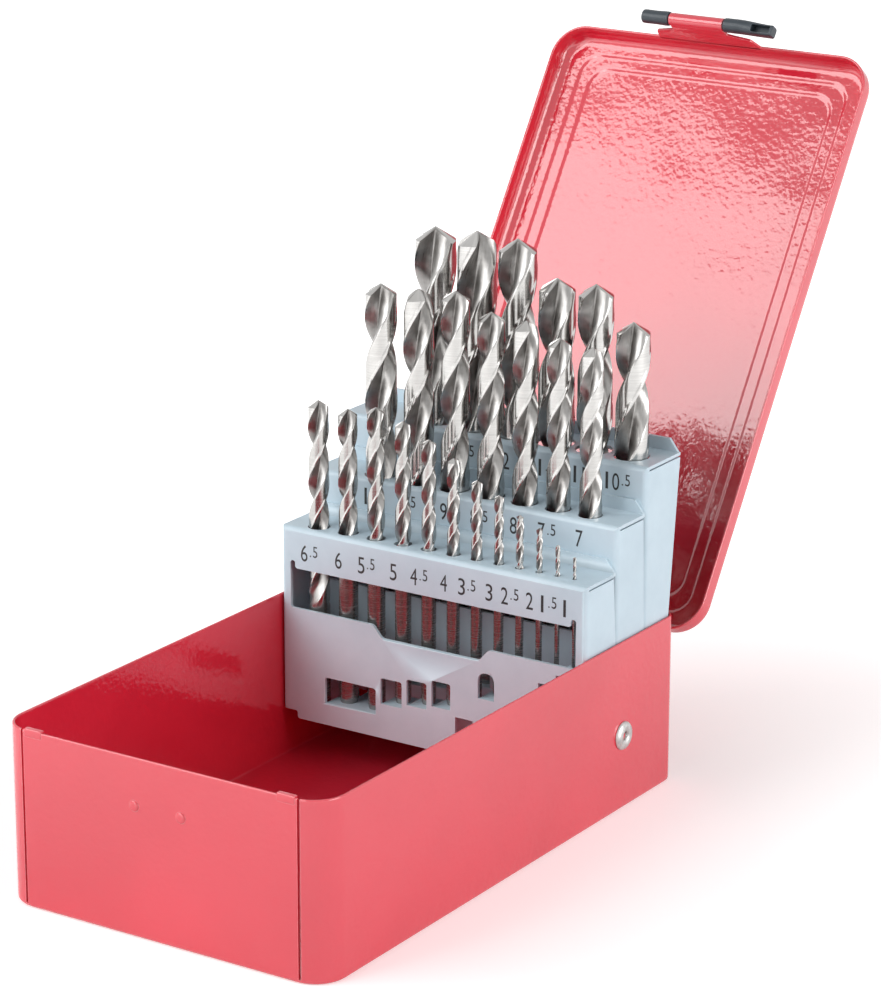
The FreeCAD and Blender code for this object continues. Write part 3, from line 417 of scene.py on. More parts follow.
class Wires:
    """Short calls that add and join nodes in one tree."""

    def __init__(self, tree):
        self.tree = tree

    def add(self, kind, settings=None, **inputs):
        node = self.tree.nodes.new(kind)
        for key, value in (settings or {}).items():
            setattr(node, key, value)
        for key, value in inputs.items():
            self.feed(node.inputs[key.replace("_", " ")], value)
        return node

    def feed(self, socket, value):
        if isinstance(value, bpy.types.NodeSocket):
            self.tree.links.new(value, socket)
        else:
            socket.default_value = value

    def math(self, operation, first, second=0.0, third=None):
        node = self.tree.nodes.new("ShaderNodeMath")
        node.operation = operation
        self.feed(node.inputs[0], first)
        self.feed(node.inputs[1], second)
        if third is not None:
            self.feed(node.inputs[2], third)
        return node.outputs[0]

    def scale_range(self, value, low, high, to_low, to_high):
        node = self.tree.nodes.new("ShaderNodeMapRange")
        self.feed(node.inputs["Value"], value)
        node.inputs["From Min"].default_value = low
        node.inputs["From Max"].default_value = high
        self.feed(node.inputs["To Min"], to_low)
        self.feed(node.inputs["To Max"], to_high)
        return node.outputs["Result"]

    def blend(self, value, first, second, low=0.3, high=0.7):
        """From one colour to another as a pattern rises."""
        return self.mix_colour(self.scale_range(value, low, high, 0.0, 1.0), first, second)

    def spot(self):
        return self.add("ShaderNodeTexCoord").outputs["Object"]

    def mix_colour(self, share, first, second):
        node = self.tree.nodes.new("ShaderNodeMix")
        node.data_type = "RGBA"
        self.feed(node.inputs["Factor"], share)
        self.feed(node.inputs[COLOUR_A], first)
        self.feed(node.inputs[COLOUR_B], second)
        return node.outputs[COLOUR_RESULT]


def noise(wires, where, scale, detail=2.0, roughness=0.5):
    node = wires.add("ShaderNodeTexNoise")
    wires.feed(node.inputs["Vector"], where)
    node.inputs["Scale"].default_value = scale
    node.inputs["Detail"].default_value = detail
    node.inputs["Roughness"].default_value = roughness
    return node.outputs["Fac"]


def open_group(name, given, result):
    """A shader node group with number inputs and one number out."""
    group = bpy.data.node_groups.new(name, "ShaderNodeTree")
    for label in given:
        group.interface.new_socket(label, in_out="INPUT", socket_type="NodeSocketFloat")
    group.interface.new_socket(result, in_out="OUTPUT", socket_type="NodeSocketFloat")
    return group, Wires(group), group.nodes.new("NodeGroupInput"), group.nodes.new("NodeGroupOutput")


def edge_wear_and_highlight_group():
    """Mask of convex edges, broken up by noise: worn edges on the clip, and a painted highlight along
    edges on the enamel and the holder's coating.
    """
    group, wires, ins, outs = open_group("Edge wear and highlight", ("Reach", "Amount", "Grain"), "Mask")
    where = wires.spot()
    sharp = wires.add("ShaderNodeNewGeometry")
    round_normal = wires.add("ShaderNodeBevel", {"samples": 4})
    wires.feed(round_normal.inputs["Radius"], ins.outputs["Reach"])
    bend = wires.add("ShaderNodeVectorMath", {"operation": "DOT_PRODUCT"})
    wires.feed(bend.inputs[0], round_normal.outputs["Normal"])
    wires.feed(bend.inputs[1], sharp.outputs["Normal"])
    edge = wires.math("SUBTRACT", 1.0, bend.outputs["Value"])
    grain = wires.add("ShaderNodeTexNoise")
    wires.feed(grain.inputs["Vector"], where)
    wires.feed(grain.inputs["Scale"], ins.outputs["Grain"])
    grain.inputs["Detail"].default_value = 3.0
    broken = wires.math("MULTIPLY", edge, grain.outputs["Fac"])
    strength = wires.math("MULTIPLY", broken, ins.outputs["Amount"])
    clear = wires.add("ShaderNodeClamp")
    wires.feed(clear.inputs["Value"], strength)
    wires.feed(outs.inputs["Mask"], clear.outputs["Result"])
    return group


def orange_peel_group():
    """Height of a sprayed coat: fine dimples over a slow waviness of the sheet."""
    group, wires, ins, outs = open_group("Orange peel", ("Dimple scale", "Wave scale", "Wave share"),
                                         "Height")
    where = wires.spot()
    dimples = wires.add("ShaderNodeTexNoise")
    wires.feed(dimples.inputs["Vector"], where)
    wires.feed(dimples.inputs["Scale"], ins.outputs["Dimple scale"])
    dimples.inputs["Detail"].default_value = 1.5
    waves = wires.add("ShaderNodeTexNoise")
    wires.feed(waves.inputs["Vector"], where)
    wires.feed(waves.inputs["Scale"], ins.outputs["Wave scale"])
    waves.inputs["Detail"].default_value = 0.5
    wave_part = wires.math("MULTIPLY", waves.outputs["Fac"], ins.outputs["Wave share"])
    wires.feed(outs.inputs["Height"], wires.math("ADD", dimples.outputs["Fac"], wave_part))
    return group


edge_wear_and_highlight = edge_wear_and_highlight_group()
orange_peel = orange_peel_group()


def new_material(name):
    material = bpy.data.materials.new(name)
    material.use_nodes = True
    tree = material.node_tree
    shader = tree.nodes["Principled BSDF"]
    return material, Wires(tree), shader


def use_group(wires, group, **values):
    node = wires.tree.nodes.new("ShaderNodeGroup")
    node.node_tree = group
    for key, value in values.items():
        wires.feed(node.inputs[key.replace("_", " ")], value)
    return node.outputs[0]


def bump(wires, shader, height, distance, strength):
    node = wires.add("ShaderNodeBump")
    node.inputs["Strength"].default_value = strength
    node.inputs["Distance"].default_value = distance
    wires.feed(node.inputs["Height"], height)
    wires.feed(shader.inputs["Normal"], node.outputs["Normal"])


def red_enamel():
    """Glossy stoved red, with orange peel, a slow drift of tone and a pale pink painted highlight
    along its rim and edges.
    """
    material, wires, shader = new_material("Red enamel")
    where = wires.spot()
    drift = noise(wires, where, 18.0, 2.0)
    red = wires.blend(drift, (0.68, 0.020, 0.045, 1), (0.75, 0.026, 0.055, 1), 0.35, 0.65)
    # Pale pink on convex edges is a painted highlight of the rounded rim and edges.
    edge_highlight_and_wear = use_group(wires, edge_wear_and_highlight, Reach=0.0006, Amount=2.6, Grain=900.0)
    wires.feed(shader.inputs["Base Color"], wires.mix_colour(edge_highlight_and_wear, red, (0.84, 0.34, 0.37, 1)))
    fine = noise(wires, where, 420.0, 3.0)
    wires.feed(shader.inputs["Roughness"], wires.scale_range(fine, 0.3, 0.7, 0.07, 0.13))
    height = use_group(wires, orange_peel, Dimple_scale=560.0, Wave_scale=45.0, Wave_share=5.0)
    bump(wires, shader, height, 0.00012, 0.7)
    shader.inputs["IOR"].default_value = 1.85
    return material


def pale_coating():
    """Satin blue-grey coating on the stamped holder, faintly mottled, with a near-white painted
    highlight along its edges, which are also made half metallic.
    """
    material, wires, shader = new_material("Pale coating")
    where = wires.spot()
    cloud = noise(wires, where, 60.0, 4.0, 0.6)
    tone = wires.blend(cloud, (0.50, 0.62, 0.70, 1), (0.57, 0.695, 0.775, 1))
    # Near-white on convex edges is a painted highlight of the bends; these edges are also made half
    # metallic.
    edge_highlight_and_wear = use_group(wires, edge_wear_and_highlight, Reach=0.0003, Amount=2.2, Grain=1400.0)
    wires.feed(shader.inputs["Base Color"], wires.mix_colour(edge_highlight_and_wear, tone, (0.86, 0.90, 0.92, 1)))
    wires.feed(shader.inputs["Metallic"], wires.math("MULTIPLY", edge_highlight_and_wear, 0.5))
    fine = noise(wires, where, 700.0, 3.0)
    wires.feed(shader.inputs["Roughness"], wires.scale_range(fine, 0.3, 0.7, 0.28, 0.42))
    height = use_group(wires, orange_peel, Dimple_scale=1400.0, Wave_scale=70.0, Wave_share=3.0)
    bump(wires, shader, height, 0.00002, 0.35)
    return material


def ground_steel():
    """Bright drill steel: lines along the flutes and round the lands, painted shade that darkens the
    flutes, and duller shanks.
    """
    material, wires, shader = new_material("Ground steel")
    along = wires.add("ShaderNodeAttribute", {"attribute_name": "flute_way"}).outputs["Vector"]
    depth = wires.add("ShaderNodeAttribute", {"attribute_name": "flute_depth"}).outputs["Fac"]
    split = wires.add("ShaderNodeSeparateXYZ")
    wires.feed(split.inputs[0], along)
    fluted = wires.scale_range(split.outputs["Z"], 0.0, 0.0003, 0.0, 1.0)
    patterns = []
    for stretch in ((1.0, 0.035, 1.0), (0.02, 1.0, 1.0)):
        stretched = wires.add("ShaderNodeMapping", {"vector_type": "POINT"})
        wires.feed(stretched.inputs["Vector"], along)
        stretched.inputs["Scale"].default_value = stretch
        patterns.append(noise(wires, stretched.outputs["Vector"], 2600.0, 4.0, 0.7))
    in_flute = wires.scale_range(depth, 0.02, 0.15, 0.0, 1.0)
    mixed = wires.add("ShaderNodeMix", {"data_type": "FLOAT"})
    wires.feed(mixed.inputs[0], in_flute)
    wires.feed(mixed.inputs[2], patterns[1])
    wires.feed(mixed.inputs[3], patterns[0])
    lines = mixed.outputs[0]
    # Painted shade: the flutes turn towards near black the deeper they lie, in slow patches.
    shade_patches = noise(wires, along, 160.0, 3.0, 0.6)
    bright = wires.blend(lines, (0.43, 0.422, 0.41, 1), (0.58, 0.57, 0.555, 1))
    painted_flute_shade = wires.math("MULTIPLY", wires.math("POWER", depth, 0.6),
                       wires.scale_range(shade_patches, 0.35, 0.65, 0.45, 1.0))
    colour = wires.mix_colour(painted_flute_shade, bright, (0.11, 0.102, 0.096, 1))
    shank = wires.blend(lines, (0.25, 0.24, 0.232, 1), (0.38, 0.37, 0.36, 1))
    wires.feed(shader.inputs["Base Color"], wires.mix_colour(fluted, shank, colour))
    wires.feed(shader.inputs["Metallic"], wires.scale_range(fluted, 0.0, 1.0, 0.88, 1.0))
    smooth = wires.scale_range(lines, 0.3, 0.7, 0.13, 0.20)
    matt = wires.scale_range(lines, 0.3, 0.7, 0.26, 0.38)
    share = wires.math("SUBTRACT", 1.0, in_flute)
    rough = wires.math("ADD", wires.math("MULTIPLY", smooth, share),
                       wires.math("MULTIPLY", matt, in_flute))
    turned = wires.math("MULTIPLY", wires.math("SUBTRACT", 1.0, fluted), 0.1)
    wires.feed(shader.inputs["Roughness"], wires.math("ADD", rough, turned))
    bump(wires, shader, lines, 0.000005, 0.4)
    return material


def plain_steel():
    """Zinc-bright steel of rivets and pins."""
    material, wires, shader = new_material("Plain steel")
    where = wires.spot()
    cloud = noise(wires, where, 500.0, 4.0, 0.7)
    colour = wires.blend(cloud, (0.42, 0.41, 0.40, 1), (0.66, 0.65, 0.64, 1))
    wires.feed(shader.inputs["Base Color"], colour)
    shader.inputs["Metallic"].default_value = 1.0
    wires.feed(shader.inputs["Roughness"], wires.scale_range(cloud, 0.3, 0.7, 0.22, 0.45))
    bump(wires, shader, cloud, 0.00003, 0.4)
    return material


def dark_clip_finish():
    """Dark slate moulding of the latch clip, lightly grained and rubbed at its edges."""
    material, wires, shader = new_material("Dark clip finish")
    where = wires.spot()
    cloud = noise(wires, where, 300.0, 3.0)
    tone = wires.blend(cloud, (0.020, 0.030, 0.040, 1), (0.034, 0.046, 0.058, 1))
    edge_highlight_and_wear = use_group(wires, edge_wear_and_highlight, Reach=0.0004, Amount=1.6, Grain=1200.0)
    wires.feed(shader.inputs["Base Color"], wires.mix_colour(edge_highlight_and_wear, tone, (0.16, 0.19, 0.21, 1)))
    fine = noise(wires, where, 1800.0, 2.0)
    wires.feed(shader.inputs["Roughness"], wires.scale_range(fine, 0.3, 0.7, 0.34, 0.5))
    bump(wires, shader, fine, 0.00003, 0.4)
    return material


def black_ink():
    """Printed numbers, slightly uneven in cover."""
    material, wires, shader = new_material("Black ink")
    where = wires.spot()
    cover = noise(wires, where, 1500.0, 3.0, 0.7)
    tone = wires.blend(cover, (0.012, 0.013, 0.015, 1), (0.035, 0.038, 0.042, 1), 0.35, 0.7)
    wires.feed(shader.inputs["Base Color"], tone)
    wires.feed(shader.inputs["Roughness"], wires.scale_range(cover, 0.3, 0.7, 0.45, 0.6))
    return material


enamel = red_enamel()
coating = pale_coating()
drill_steel = ground_steel()
steel = plain_steel()
clip_finish = dark_clip_finish()
ink = black_ink()


# Tray.
def bend_rings(ring_at, radius, steps):
    """Rings round a quarter bend; ring_at takes the inset and the rise."""
    rings = []
    for step in range(steps + 1):
        angle = math.pi / 2 * step / steps
        rings.append(ring_at(radius * (1 - math.sin(angle)), radius * (1 - math.cos(angle))))
    return rings


def rim_rings(ring_at, level, rise):
    """Rings over a sheet's rounded rim, from its outer to its inner side."""
    radius = STEEL / 2
    rings = []
    for step in range(RIM_STEPS + 1):
        angle = math.pi * step / RIM_STEPS
        rings.append(ring_at(radius * (1 - math.cos(angle)),
                             level + rise * radius * (math.sin(angle) - 1)))
    return rings


def tray_skin():
    """Floor and walls of one sheet, with rounded uprights and a small bend at the foot."""
    def outer(inset, level):
        return corner_ring(tray_high.x - inset, TRAY_FRONT + inset, -TRAY_FRONT - inset, level,
                           max(TRAY_FRONT_CORNER - inset, RIM_EDGE),
                           max(TRAY_REAR_CORNER - inset, RIM_EDGE))

    floor_inset = TRAY_BOTTOM_BEND + 2 * STEEL
    inner_bend = TRAY_BOTTOM_BEND - STEEL
    rings = [outer(floor_inset, 0)]
    rings += bend_rings(outer, TRAY_BOTTOM_BEND, 6)
    rings.append(outer(0, TRAY_BOTTOM_BEND + STEEL))
    rings.append(outer(0, TRAY_HEIGHT - STEEL))
    rings += rim_rings(outer, TRAY_HEIGHT, 1)
    rings.append(outer(STEEL, TRAY_HEIGHT - STEEL))
    rings.append(outer(STEEL, TRAY_BOTTOM_BEND + STEEL))
    inside = bend_rings(lambda inset, rise: outer(STEEL + inset, STEEL + rise), inner_bend, 4)
    rings += reversed(inside)
    rings.append(outer(floor_inset + STEEL, STEEL))
    return skin_rings("tray_skin", rings)


def tray_lug(side):
    """Small lug folded over the rim beside a seam."""
    outer = (tray_high.x - TRAY_FRONT_CORNER + SEAM_PAST_CORNER - LUG_FROM_SEAM) * side
    inner = outer - LUG_WIDTH * side
    left, right = sorted((inner, outer))
    mesh = box_mesh([((left, TRAY_FRONT - LUG_PROUD, TRAY_HEIGHT - LUG_DROP),
                      (right, TRAY_FRONT + 2 * STEEL, TRAY_HEIGHT + LUG_RISE))])
    return soften(mesh, LUG_RISE * 0.7, 4)


def latch_bump(side):
    """Bump pressed outwards from the front wall for the strap to snap over."""
    profile = [(BUMP_RADIUS, -STEEL / 2), (BUMP_RADIUS, 0)]
    for step in range(1, 10):
        angle = math.pi / 2 * step / 9.2
        profile.append((BUMP_RADIUS * math.cos(angle) ** BUMP_STEEPNESS,
                        BUMP_RISE * math.sin(angle)))
    mesh = lathe("latch_bump", profile, 40)
    mesh.transform(Matrix.Translation((BUMP_SPACING / 2 * side, TRAY_FRONT, BUMP_LEVEL))
                   @ Matrix.Rotation(math.pi / 2, 4, "X"))
    return mesh


def make_tray():
    seam = tray_high.x - TRAY_FRONT_CORNER + SEAM_PAST_CORNER
    cuts = box_mesh([((seam * side - SEAM_GAP / 2, TRAY_FRONT - STEEL, SEAM_FOOT),
                      (seam * side + SEAM_GAP / 2, TRAY_FRONT + STEEL * 1.5, TRAY_HEIGHT + STEEL))
                     for side in (-1, 1)])
    walls = apply_boolean(tray_skin(), cuts)
    details = [make(side) for make in (tray_lug, latch_bump) for side in (-1, 1)]
    piece = finish_mesh("painted_tray", join_meshes("painted_tray", [walls] + details), "base",
                        enamel)
    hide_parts("base_tray")
    return piece


# Lid.
def lid_ring(inset, level):
    corner = max(LID_CORNER - inset, RIM_EDGE)
    return corner_ring(LID_HALF - inset, LID_FRONT + inset, LID_REAR - inset, level, corner, corner)


def panel_rings(level):
    """Rings over the panel's two pressed steps, from the margin to the flat."""
    def step_up(inset, centre):
        share = min(max((inset - centre) / (2 * STEP_REACH) + 0.5, 0), 1)
        return share * share * (3 - 2 * share) / 2

    rings = []
    for centre in (0, PANEL_SLOPE):
        for number in range(-4, 5):
            inset = centre + number / 3 * STEP_REACH
            rise = PANEL_RISE * (step_up(inset, 0) + step_up(inset, PANEL_SLOPE))
            rings.append(corner_ring(LID_HALF - PANEL_SIDE_MARGIN - inset,
                                     LID_FRONT + PANEL_END_MARGIN + inset,
                                     LID_REAR - PANEL_END_MARGIN - inset,
                                     level + rise, PANEL_CORNER, PANEL_CORNER))
    return rings


def lid_shell():
    """Pressed lid, its edge rolled down to the rim and its panel raised."""
    top = LID_RIM + LID_DEPTH
    margin = LID_BEND + STEEL / 2
    rings = list(reversed(panel_rings(top)))
    rings.append(lid_ring(margin, top))
    rings += bend_rings(lambda inset, rise: lid_ring(inset, top - rise), LID_BEND, 10)
    rings.append(lid_ring(0, top - LID_BEND - STEEL / 2))
    rings.append(lid_ring(0, LID_RIM + STEEL))
    rings += rim_rings(lid_ring, LID_RIM, -1)
    rings.append(lid_ring(STEEL, LID_RIM + STEEL))
    rings.append(lid_ring(STEEL, top - LID_BEND - STEEL / 2))
    inside = bend_rings(lambda inset, rise: lid_ring(STEEL + inset, top - STEEL - rise),
                        LID_BEND - STEEL, 10)
    rings += reversed(inside)
    rings.append(lid_ring(margin, top - STEEL))
    rings += panel_rings(top - STEEL)
    return skin_rings("lid_shell", rings)


def strap_sheet():
    """Strap that runs down from the lid's front rim and narrows to the barrel."""
    right_side = [
        (STRAP_ROOT, LID_RIM + 2 * STEEL),
        (STRAP_ROOT, LID_RIM),
        (STRAP_SHOULDER, LID_RIM - STRAP_SHOULDER_DROP),
        (BARREL_HALF, LID_RIM - STRAP_NECK_DROP),
        (BARREL_HALF, LID_RIM - STRAP_DROP),
    ]
    outline = right_side + [(-x, z) for x, z in reversed(right_side)]
    outline = [(x + STRAP_MIDDLE, z) for x, z in round_corners(outline, 1.5 * MM)]
    upright = Matrix.Translation((0, LID_FRONT + STEEL, 0)) @ Matrix.Rotation(math.pi / 2, 4, "X")
    return soften(extrude_outline("strap", outline, STEEL, upright), RIM_EDGE, 2, 60)


def strap_barrel():
    """End of the strap rolled round the latch pin."""
    outer = BARREL_RADIUS
    inner = LATCH_PIN_RADIUS + LATCH_PIN_FIT
    edge = RIM_EDGE
    end = BARREL_HALF
    profile = [(inner, -end + edge), (inner + edge, -end), (outer - edge, -end),
               (outer, -end + edge), (outer, end - edge), (outer - edge, end),
               (inner + edge, end), (inner, end - edge)]
    mesh = tube("barrel", profile, 56)
    mesh.transform(Matrix.Translation((STRAP_MIDDLE, LATCH_Y, LATCH_Z))
                   @ Matrix.Rotation(math.pi / 2, 4, "Y"))
    return mesh


def make_lid():
    """Lid, strap and barrel, drawn closed and turned open."""
    meshes = [lid_shell(), strap_sheet(), strap_barrel()]
    piece = finish_mesh("painted_lid", join_meshes("painted_lid", meshes), "lid",
                        enamel, place=lid_place)
    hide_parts("lid_tray")
    return piece


# Clip.
def round_section(x, radius, y=LATCH_Y, z=LATCH_Z):
    return section_ring(x, (y - radius, z - radius), (y + radius, z + radius), radius * 0.98)


def clip_left_knuckle():
    """Left knuckle of the clip, drawn in a little at its end."""
    radius = LATCH_KNUCKLE_RADIUS
    inner = STRAP_MIDDLE - LATCH_INNER
    outer = STRAP_MIDDLE - LATCH_OUTER
    stations = ((outer, 0.80), (outer + LATCH_KNUCKLE_BREAK, 0.93),
                (outer + LATCH_KNUCKLE_SWELL, 0.97), ((outer + inner) / 2, 0.95),
                (inner - LATCH_KNUCKLE_SWELL, 1.0), (inner - LATCH_KNUCKLE_BREAK, 0.98),
                (inner, 0.88))
    return skin_rings("left_knuckle", [round_section(x, radius * share) for x, share in stations])


def clip_right_arm():
    """Right knuckle, squared off into the hollow thumb piece."""
    radius = LATCH_KNUCKLE_RADIUS
    inner = STRAP_MIDDLE + LATCH_INNER
    start = STRAP_MIDDLE + LATCH_OUTER
    end = start + LATCH_TAIL_REACH
    rings = [round_section(inner, radius * 0.88),
             round_section(inner + LATCH_KNUCKLE_BREAK, radius * 0.98),
             round_section(inner + LATCH_KNUCKLE_SWELL, radius)]
    square_from = inner + LATCH_KNUCKLE_RADIUS * 2
    steps = 14
    for step in range(steps + 1):
        share = step / steps
        x = square_from + (end - square_from) * share
        square = share * share * (3 - 2 * share)
        depth = radius * (1 - square) + LATCH_TAIL_DEPTH / 2 * square
        height = radius * (1 - square) + LATCH_TAIL_HEIGHT / 2 * square
        corner = radius * 0.98 * (1 - square) + LATCH_TAIL_CORNER * square
        middle = LATCH_Y + LATCH_TAIL_SHIFT * square
        rings.append(section_ring(x, (middle - depth, LATCH_Z - height),
                                  (middle + depth, LATCH_Z + height), corner))
    last = rings[-1]
    centre = Vector([sum(point[axis] for point in last) / len(last) for axis in range(3)])
    cap = []
    for point in last:
        spot = centre + (Vector(point) - centre) * 0.86
        cap.append((end + 0.3 * MM, spot.y, spot.z))
    rings.append(cap)
    middle = LATCH_Y + LATCH_TAIL_SHIFT
    wall = LATCH_TAIL_WALL
    hollow = box_mesh([((start + wall, middle - LATCH_TAIL_DEPTH / 2 + wall, LATCH_Z - radius * 2),
                        (end - wall, middle + LATCH_TAIL_DEPTH / 2 - wall, LATCH_Z + wall))])
    return apply_boolean(skin_rings("right_arm", rings), hollow)


def clip_web():
    """Web behind the strap that joins the two sides of the clip."""
    low = LATCH_Z + BARREL_RADIUS + 0.4 * MM
    high = LATCH_Z + BARREL_RADIUS + 4.6 * MM
    outline = [(-LATCH_OUTER + 0.6 * MM, LATCH_Z), (-LATCH_INNER, LATCH_Z), (-LATCH_INNER, low),
               (LATCH_INNER, low), (LATCH_INNER, LATCH_Z), (LATCH_OUTER, LATCH_Z),
               (LATCH_OUTER, high), (-LATCH_OUTER + 0.6 * MM, high - BARREL_RADIUS / 2)]
    outline = [(x + STRAP_MIDDLE, z) for x, z in round_corners(outline, 0.8 * MM)]
    outside = LATCH_Y - LATCH_KNUCKLE_RADIUS
    upright = Matrix.Translation((0, outside + LATCH_WEB, 0)) @ Matrix.Rotation(math.pi / 2, 4, "X")
    return soften(extrude_outline("web", outline, LATCH_WEB, upright), 0.3 * MM, 3, 60)


def make_clip():
    meshes = [clip_left_knuckle(), clip_right_arm(), clip_web()]
    piece = finish_mesh("clip_lever", join_meshes("clip_lever", meshes), "latch",
                        clip_finish, place=lid_place)
    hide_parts("latch_clip")
    return piece


# Rivets.
def make_rivets():
    """Hollow rivets that the holder turns on, one through each side wall."""
    wall = tray_high.x
    collar = HOLDER_HALF - HOLDER_STEEL - RIVET_FIT
    profile = [
        (RIVET_HOLLOW * 0.1, collar - RIVET_COLLAR),
        (RIVET_COLLAR_RADIUS * 0.9, collar - RIVET_COLLAR),
        (RIVET_COLLAR_RADIUS, collar - RIVET_COLLAR * 0.8),
        (RIVET_COLLAR_RADIUS, collar),
        (RIVET_RADIUS, collar),
        (RIVET_RADIUS, wall),
        *((RIVET_HEAD_RADIUS * across, wall + RIVET_HEAD * up) for across, up in RIVET_CROWN),
        (RIVET_HOLLOW, wall + RIVET_HEAD * 0.5),
        (RIVET_HOLLOW * 0.96, collar),
        (RIVET_HOLLOW * 0.1, collar),
    ]
    meshes = []
    for quarter in (1, -1):
        mesh = lathe("rivet", profile, 48)
        mesh.transform(Matrix.Translation(pivot_spot)
                       @ Matrix.Rotation(math.pi / 2 * quarter, 4, "Y"))
        meshes.append(mesh)
    piece = finish_mesh("holder_rivets", join_meshes("holder_rivets", meshes), "base",
                        steel)
    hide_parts("pivot_rivets")
    return piece


make_tray()
make_lid()
make_clip()
make_rivets()

# Holder and hinge keep their CAD forms, with rounded edges and window corners.
for node, name, low in (("holder_front", "front_bracket", front_low),
                        ("holder_middle", "middle_bracket", middle_low),
                        ("holder_back", "back_bracket", back_low)):
    cad_copy(node, name, coating, windows_at=low.y)
for node, name in (("base_hinge_leaf", "tray_leaf"), ("lid_hinge_leaf", "lid_leaf")):
    cad_copy(node, name, enamel)
for node in ("hinge_pin", "latch_pin"):
    cad_copy(node, node + "_steel", steel, bevel=0)


# Numbers printed under the drills' holes.
DIGIT_HEIGHT = 5.3 * MM
DIGIT_WIDTH = 2.45 * MM
ONE_WIDTH = 0.9 * MM
DIGIT_STEP = 3.1 * MM
SMALL_HEIGHT = 3.6 * MM
SMALL_WIDTH = 1.65 * MM
SMALL_RISE = 1.0 * MM
HALF_SHIFT = -1.9 * MM
SMALL_SHIFT = 4.1 * MM
DOT_SIZE = 0.5 * MM
DOT_SHIFT = 2.35 * MM
INK_PROUD = 0.02 * MM
FRONT_NUMBER_DROP = 7.6 * MM
MIDDLE_NUMBER_DROP = 5.7 * MM
BACK_NUMBER_DROP = 6.0 * MM


def glyph_mesh(letter, centre_x, centre_z, width, height, face_y):
    """One character drawn on an upright plate, centred, as wide and high as asked."""
    curve = bpy.data.curves.new(letter, "FONT")
    curve.body = letter
    curve.extrude = 1.0
    writer = bpy.data.objects.new(letter, curve)
    bpy.context.scene.collection.objects.link(writer)
    bpy.context.view_layer.update()
    graph = bpy.context.evaluated_depsgraph_get()
    mesh = bpy.data.meshes.new_from_object(writer.evaluated_get(graph))
    bpy.data.objects.remove(writer)
    lows = [min(vert.co[axis] for vert in mesh.vertices) for axis in range(3)]
    highs = [max(vert.co[axis] for vert in mesh.vertices) for axis in range(3)]
    centre = [(low + high) / 2 for low, high in zip(lows, highs)]
    sizes = [high - low for low, high in zip(lows, highs)]
    fit = Matrix.Diagonal((width / sizes[0], height / sizes[1], 2 * INK_PROUD / sizes[2], 1))
    mesh.transform(Matrix.Translation((centre_x, face_y, centre_z))
                   @ Matrix.Rotation(math.pi / 2, 4, "X") @ fit
                   @ Matrix.Translation([-value for value in centre]))
    return mesh


def number_meshes(whole, half, x, z, face_y):
    """A drill's size: one or two digits, and a small raised five for a half."""
    meshes = []
    shift = HALF_SHIFT if half else 0
    for place, digit in enumerate(whole):
        spot = x + shift + (place - (len(whole) - 1) / 2) * DIGIT_STEP
        width = ONE_WIDTH if digit == "1" else DIGIT_WIDTH
        meshes.append(glyph_mesh(digit, spot, z, width, DIGIT_HEIGHT, face_y))
    if half:
        side = x + shift + (len(whole) - 1) / 2 * DIGIT_STEP
        meshes.append(glyph_mesh("5", side + SMALL_SHIFT, z + SMALL_RISE, SMALL_WIDTH,
                                 SMALL_HEIGHT, face_y))
        dot_z = z + SMALL_RISE - SMALL_HEIGHT / 2 + DOT_SIZE / 2
        meshes.append(glyph_mesh(".", side + DOT_SHIFT, dot_z, DOT_SIZE, DOT_SIZE, face_y))
    return meshes


def print_numbers(name, names, face_y, level):
    meshes = []
    for drill in names:
        low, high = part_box(f"drill_{drill}")
        whole, part = drill.split("_")
        meshes += number_meshes(whole, part == "5", (low.x + high.x) / 2, level, face_y)
    piece = finish_mesh(name, join_meshes(name, meshes), "holder", ink)
    return piece


FRONT_DRILLS = ("6_5", "6_0", "5_5", "5_0", "4_5", "4_0", "3_5", "3_0", "2_5", "2_0", "1_5", "1_0")
MIDDLE_DRILLS = ("10_0", "9_5", "9_0", "8_5", "8_0", "7_5", "7_0")
BACK_DRILLS = ("13_0", "12_5", "12_0", "11_5", "11_0", "10_5")
LIP_RISE = 4 * MM
print_numbers("front_numbers", FRONT_DRILLS, front_low.y,
              front_high.z - LIP_RISE - FRONT_NUMBER_DROP)
print_numbers("middle_numbers", MIDDLE_DRILLS, middle_low.y,
              middle_high.z - LIP_RISE - MIDDLE_NUMBER_DROP)
print_numbers("back_numbers", BACK_DRILLS, back_low.y,
              back_high.z - LIP_RISE - BACK_NUMBER_DROP)


# Twist drills.
class Field:
    """A value in a geometry node tree that can be reckoned with."""

    def __init__(self, tree, socket):
        self.tree = tree
        self.socket = socket

    def join(self, operation, *others):
        node = self.tree.nodes.new("ShaderNodeMath")
        node.operation = operation
        for socket, value in zip(node.inputs, (self, *others)):
            if isinstance(value, Field):
                self.tree.links.new(value.socket, socket)
            else:
                socket.default_value = value
        return Field(self.tree, node.outputs[0])

    def __add__(self, other):
        return self.join("ADD", other)

    def __sub__(self, other):
        return self.join("SUBTRACT", other)

    def __mul__(self, other):
        return self.join("MULTIPLY", other)

    def __truediv__(self, other):
        return self.join("DIVIDE", other)


# Radius of the cross section, of the full radius, over half a turn from the heel: the
# land with its raised margin, the straight cutting face, the web and the rising back.
SECTION_SHARES = (
    (0.00, 0.93), (0.04, 0.965), (0.36, 0.965), (0.38, 1.0), (0.44, 1.0), (0.455, 0.88),
    (0.50, 0.55), (0.58, 0.30), (0.68, 0.20), (0.78, 0.24), (0.88, 0.44), (0.96, 0.76),
    (1.00, 0.93),
)
LAND_SHARE = 0.44
LEAD_SHARE = 5.44
RUNOUT_SHARE = 1.6
LIP_RELIEF_SHARE = 0.16
POINT_SLOPE = 1 / math.tan(math.radians(59))
SHANK_MARK = 0.001
AROUND = 72
ALONG = 170


